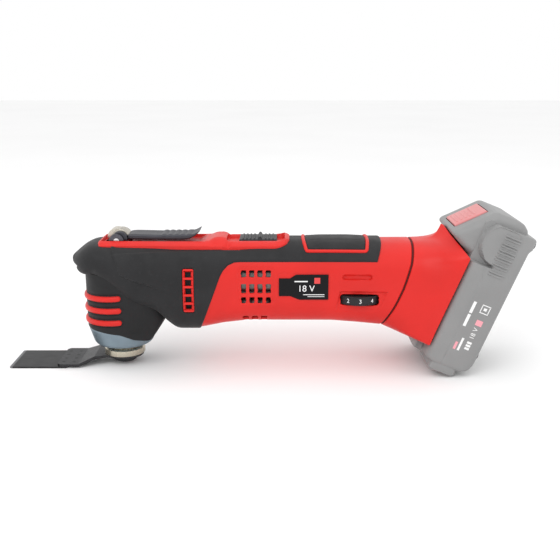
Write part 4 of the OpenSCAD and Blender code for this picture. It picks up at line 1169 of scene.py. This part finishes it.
class MULTITOOL_OT_skin(bpy.types.Operator):
    """Builds the black front shell and grip band as one skin"""

    bl_idname = "multitool.skin"
    bl_label = "Black skin"
    bl_options = {"REGISTER", "UNDO"}

    def execute(self, context):
        sizes = context.scene.multitool_sizes
        half = skin_grid(sizes.proud)
        piece("black_skin", [half, mirrored(half)], "grip_skin", "tool_body", "soft_grip",
              ("front_shell_left", "front_shell_right", "grip_band"), wall=1.2, sharp=50)
        return {"FINISHED"}


class MULTITOOL_OT_housing(bpy.types.Operator):
    """Builds the two halves of the red housing with their vents, slots and screw wells"""

    bl_idname = "multitool.housing"
    bl_label = "Red housing"
    bl_options = {"REGISTER", "UNDO"}

    def execute(self, context):
        sizes = context.scene.multitool_sizes
        left, right = housing_half(True, sizes.groove), mirrored(housing_half(False, sizes.groove))
        red_piece("housing_shell_left", [left], "housing_left", wall=sizes.wall)
        red_piece("housing_shell_right", [right], "housing_right", wall=sizes.wall)
        red_piece("screw_wells", screw_wells())
        return {"FINISHED"}


class MULTITOOL_OT_dock(bpy.types.Operator):
    """Builds the flared battery dock and the dark line of its seam"""

    bl_idname = "multitool.dock"
    bl_label = "Battery dock"
    bl_options = {"REGISTER", "UNDO"}

    def execute(self, context):
        half, wall = dock_half(), context.scene.multitool_sizes.wall
        red_piece("dock_shell", [half, mirrored(half)], "battery_dock", wall=wall)
        piece("dock_seam", [seam_ring()], "seam_shadow", "tool_body", "red_plastic")
        return {"FINISHED"}


class MULTITOOL_OT_cover(bpy.types.Operator):
    """Builds the red top cover with its hump and wells"""

    bl_idname = "multitool.cover"
    bl_label = "Top cover"
    bl_options = {"REGISTER", "UNDO"}

    def execute(self, context):
        red_piece("cover_shell", cover_parts(), "top_cover", sharp=40)
        return {"FINISHED"}


class MULTITOOL_OT_controls(bpy.types.Operator):
    """Builds the release lever, the sliding switch and the speed dial"""

    bl_idname = "multitool.controls"
    bl_label = "Lever, switch and dial"
    bl_options = {"REGISTER", "UNDO"}

    def execute(self, context):
        cheeks = [drum(*PIVOT, -9.2, -5.6, 5.4), drum(*PIVOT, 5.6, 9.2, 5.4)]
        bar = [lever_arm()] + cheeks
        piece("lever_bar", bar, "lever_alloy", "lever", "lever_alloy", ("release_lever",), sharp=40)
        piece("lever_drum", [drum(*PIVOT, -5.7, 5.7, 6.3)], "cam_steel", "lever", "machined_steel")
        slider = pillow(lambda a, b, h: np.stack([97.9 + a, b, 91.9 + h], -1), (13.1, 9.5), 0.5, 0.9, (130, 40),
                        slider_relief, -2.6)
        piece("slider", slider, "dark_plastic", "switch", "black_plastic", ("switch_slider",))
        piece("dial_wheel", [dial_wheel()], "dark_plastic", "dial", "black_plastic", ("speed_dial",))
        figures, r = [], DIAL_R + 0.03
        for i in range(6):
            turn = math.radians(-90 - 62 + 31 * i)
            figures.append(letters(str(i + 1), 4.2, lambda a, b, t=turn: polar(r, t + a / r, DIAL[2] + b, DIAL)))
        ink("dial_figures", figures, "white_ink", "dial")
        return {"FINISHED"}


class MULTITOOL_OT_pad(bpy.types.Operator):
    """Builds the soft pad on top of the handle and the red line round it"""

    bl_idname = "multitool.pad"
    bl_label = "Grip pad"
    bl_options = {"REGISTER", "UNDO"}

    def execute(self, context):
        piece("pad_skin", [pad_grid()], "grip_skin", "tool_body", "soft_grip", ("grip_pad",), wall=1.0, sharp=50)
        red_piece("pad_line", [tube(pad_trim_path(), 1.25)], "pad_trim")
        return {"FINISHED"}


class MULTITOOL_OT_plates(bpy.types.Operator):
    """Builds the plate on each side with plain printed bars and the voltage"""

    bl_idname = "multitool.plates"
    bl_label = "Side plates"
    bl_options = {"REGISTER", "UNDO"}

    def execute(self, context):
        sizes = context.scene.multitool_sizes
        pair("plate", plate_grid(0.42), "plate_film", "black_plastic", "name_plate", wall=0.5)
        bars = [side_patch(*box) for box in PLATE_BARS]
        words = [letters("18 V", sizes.type_size, lambda a, b, k=k: side_point(131 + k * a, 61.6 + b, PLATE_PRINT)
                         * [1, k, 1]) for k in (1, -1)]
        ink("plate_print", bars + words + [mirrored(b) for b in bars], "white_ink", "tool_body")
        square = side_patch(*PLATE_SQUARE)
        ink("plate_mark", [square, mirrored(square)], "red_ink", "tool_body")
        return {"FINISHED"}


class MULTITOOL_OT_head(bpy.types.Operator):
    """Builds the rubber boot, its three red ribs, the alloy collar and the ladder vents"""

    bl_idname = "multitool.head"
    bl_label = "Gearbox head"
    bl_options = {"REGISTER", "UNDO"}

    def execute(self, context):
        piece("boot_skin", [boot_grid()], "boot_rubber", "tool_body", "soft_grip", ("gearbox_boot",),
              wall=1.5, sharp=50)
        red_piece("red_ribs", [rib(i) for i in range(3)], "nose_ribs", sharp=60)
        profile = rounded([(12, 17), (12, 15.6), (19.4, 15.6), (21.2, 17.6), (24.3, 27.4), (24.3, 31), (17.6, 31),
                           (17.6, 17), (12, 17)], 0.7)
        piece("collar_ring", [lathe(profile, 128)], "cast_alloy", "tool_body", "cast_alloy", ("gear_collar",))
        pair("ladder", ladder_grid(), "red_shell", "red_plastic", "side_vent", wall=1.8)
        return {"FINISHED"}


class MULTITOOL_OT_blade(bpy.types.Operator):
    """Adds the weld spots that hold the saw plate"""

    bl_idname = "multitool.blade"
    bl_label = "Weld spots"
    bl_options = {"REGISTER", "UNDO"}

    def execute(self, context):
        line = np.array([(1.3, 2.98), (1.1, 3.07), (0.7, 3.05), (0.3, 2.99), (0, 2.98)])
        spots = [lathe(line, 24, (x, y)) for x in (-42.6, -35.2) for y in (-11, -3.7, 3.7, 11)]
        piece("weld_spots", spots, "holder_steel", "accessory", "holder_steel")
        return {"FINISHED"}


class MULTITOOL_OT_pack(bpy.types.Operator):
    """Builds the battery pack's case, head, foot and release button"""

    bl_idname = "multitool.pack"
    bl_label = "Battery pack"
    bl_options = {"REGISTER", "UNDO"}

    def execute(self, context):
        piece("pack_case", [pack_slab()], "pack_shell", "battery", "pack_plastic", ("pack_lower_case",))
        piece("pack_head", pack_hump(), "pack_shell", "battery", "pack_plastic", ("pack_upper_case",))
        piece("latch_well", [latch_well()], "seam_shadow", "battery", "pack_plastic")
        foot = pack_block((6, 26), (-35.4, 35.4), (-13.2, -6.5), 1.4)
        piece("pack_foot", [foot], "pack_shell", "battery", "pack_plastic")
        button = pillow(lambda a, b, h: latch_space(-h, b, BUTTON_Z + a), (11.9, 14.9), 0.9, 1.2, (90, 60),
                        button_relief, -2.3)
        piece("latch_button", button, "latch_pink", "latch", "latch_plastic", ("pack_latch",))
        words = letters("18 V", 4.6, lambda a, b: on_pack(24.6 - b, np.full(a.shape, PRINT_Y), 21.4 + a))
        ink("pack_print", [words] + [pack_bar(*box) for box in WHITE_BARS], "white_ink", "battery")
        ink("pack_mark", [pack_bar(*box) for box in PINK_BARS], "pink_ink", "battery")
        line = [(0, -0.5), (1, -0.5), (1.15, 0.1), (2.3, 0.1), (2.5, 0), (2.5, -1), (0, -1)]
        heads = [turned(line, lambda a, b, h, k=k, v=v, u=u: on_pack(v + h, k * 29 + a, u + b))
                 for k in (-1, 1) for v, u in ((36.15, 6), (37.8, 91))]
        piece("pack_screw_heads", heads, "magnet", "battery", "machined_steel", ("pack_screws",))
        return {"FINISHED"}


class MULTITOOL_OT_stage(bpy.types.Operator):
    """Lays the pale floor, hangs the soft lights and sets the camera"""

    bl_idname = "multitool.stage"
    bl_label = "Stage"
    bl_options = {"REGISTER", "UNDO"}

    def execute(self, context):
        scene = bpy.context.scene
        scene.view_settings.view_transform = "Standard"
        mesh = bpy.data.meshes.new("floor")
        mesh.from_pydata([(-4, -4, 0), (4, -4, 0), (4, 4, 0), (-4, 4, 0)], [], [(0, 1, 2, 3)])
        floor = bpy.data.objects.new("floor", mesh)
        scene.collection.objects.link(floor)
        n = Nodes("floor_paper")
        tone = n.mix(n.cloud(3, 2), (0.93, 0.93, 0.93, 1), (0.95, 0.95, 0.95, 1))
        mesh.materials.append(n.finish(tone, 0.9, Specular_IOR_Level=0.1))
        world = bpy.data.worlds.new("studio")
        scene.world = world
        world.use_nodes = True
        sky = world.node_tree.nodes["Background"].inputs
        sky["Color"].default_value, sky["Strength"].default_value = (1, 1, 1, 1), 1.0
        for name, where, aim, size, power in (("key", (-0.35, -0.75, 0.9), (0, 0, 0.05), 0.7, 3.4),
                                              ("top", (0.1, 0.1, 1.1), (0, 0, 0.05), 0.9, 1.6),
                                              ("fill", (0.8, -0.7, 0.35), (0.05, 0, 0.06), 0.6, 0.8)):
            light = bpy.data.lights.new(name, "AREA")
            light.energy, light.size = power, size
            lamp = bpy.data.objects.new(name, light)
            lamp.location = where
            lamp.rotation_euler = (Vector(aim) - Vector(where)).to_track_quat("-Z", "Y").to_euler()
            scene.collection.objects.link(lamp)
        lens = bpy.data.cameras.new("camera")
        lens.lens, lens.sensor_width, lens.clip_start = 51.9, 36.0, 0.01
        camera = bpy.data.objects.new("camera", lens)
        camera.location = (0.0105, -0.5568, 0.2120)
        camera.rotation_euler = (math.radians(90 - 15.2), 0, 0)
        scene.collection.objects.link(camera)
        scene.camera = camera
        return {"FINISHED"}


OPERATORS = (MULTITOOL_OT_finishes, MULTITOOL_OT_skin, MULTITOOL_OT_housing, MULTITOOL_OT_dock, MULTITOOL_OT_cover,
             MULTITOOL_OT_controls, MULTITOOL_OT_pad, MULTITOOL_OT_plates, MULTITOOL_OT_head, MULTITOOL_OT_blade,
             MULTITOOL_OT_pack, MULTITOOL_OT_stage)


class MULTITOOL_PT_panel(bpy.types.Panel):
    """Lists the tool's settings and its pieces"""

    bl_label = "Multi-Tool"
    bl_space_type = "VIEW_3D"
    bl_region_type = "UI"
    bl_category = "Multi-Tool"

    def draw(self, context):
        for settings in (context.scene.multitool_sizes, context.scene.multitool_colours):
            for name in settings.__annotations__:
                self.layout.prop(settings, name)
        for operator in OPERATORS:
            self.layout.operator(operator.bl_idname)


CLASSES = (MultiToolSizes, MultiToolColours) + OPERATORS + (MULTITOOL_PT_panel,)


def register():
    for cls in CLASSES:
        bpy.utils.register_class(cls)
    bpy.types.Scene.multitool_sizes = bpy.props.PointerProperty(type=MultiToolSizes)
    bpy.types.Scene.multitool_colours = bpy.props.PointerProperty(type=MultiToolColours)


def unregister():
    del bpy.types.Scene.multitool_sizes
    del bpy.types.Scene.multitool_colours
    for cls in reversed(CLASSES):
        bpy.utils.unregister_class(cls)


def main():
    register()
    for operator in OPERATORS:
        group, name = operator.bl_idname.split(".")
        getattr(getattr(bpy.ops, group), name)()
    bpy.context.view_layer.update()


if __name__ == "__main__":
    main()
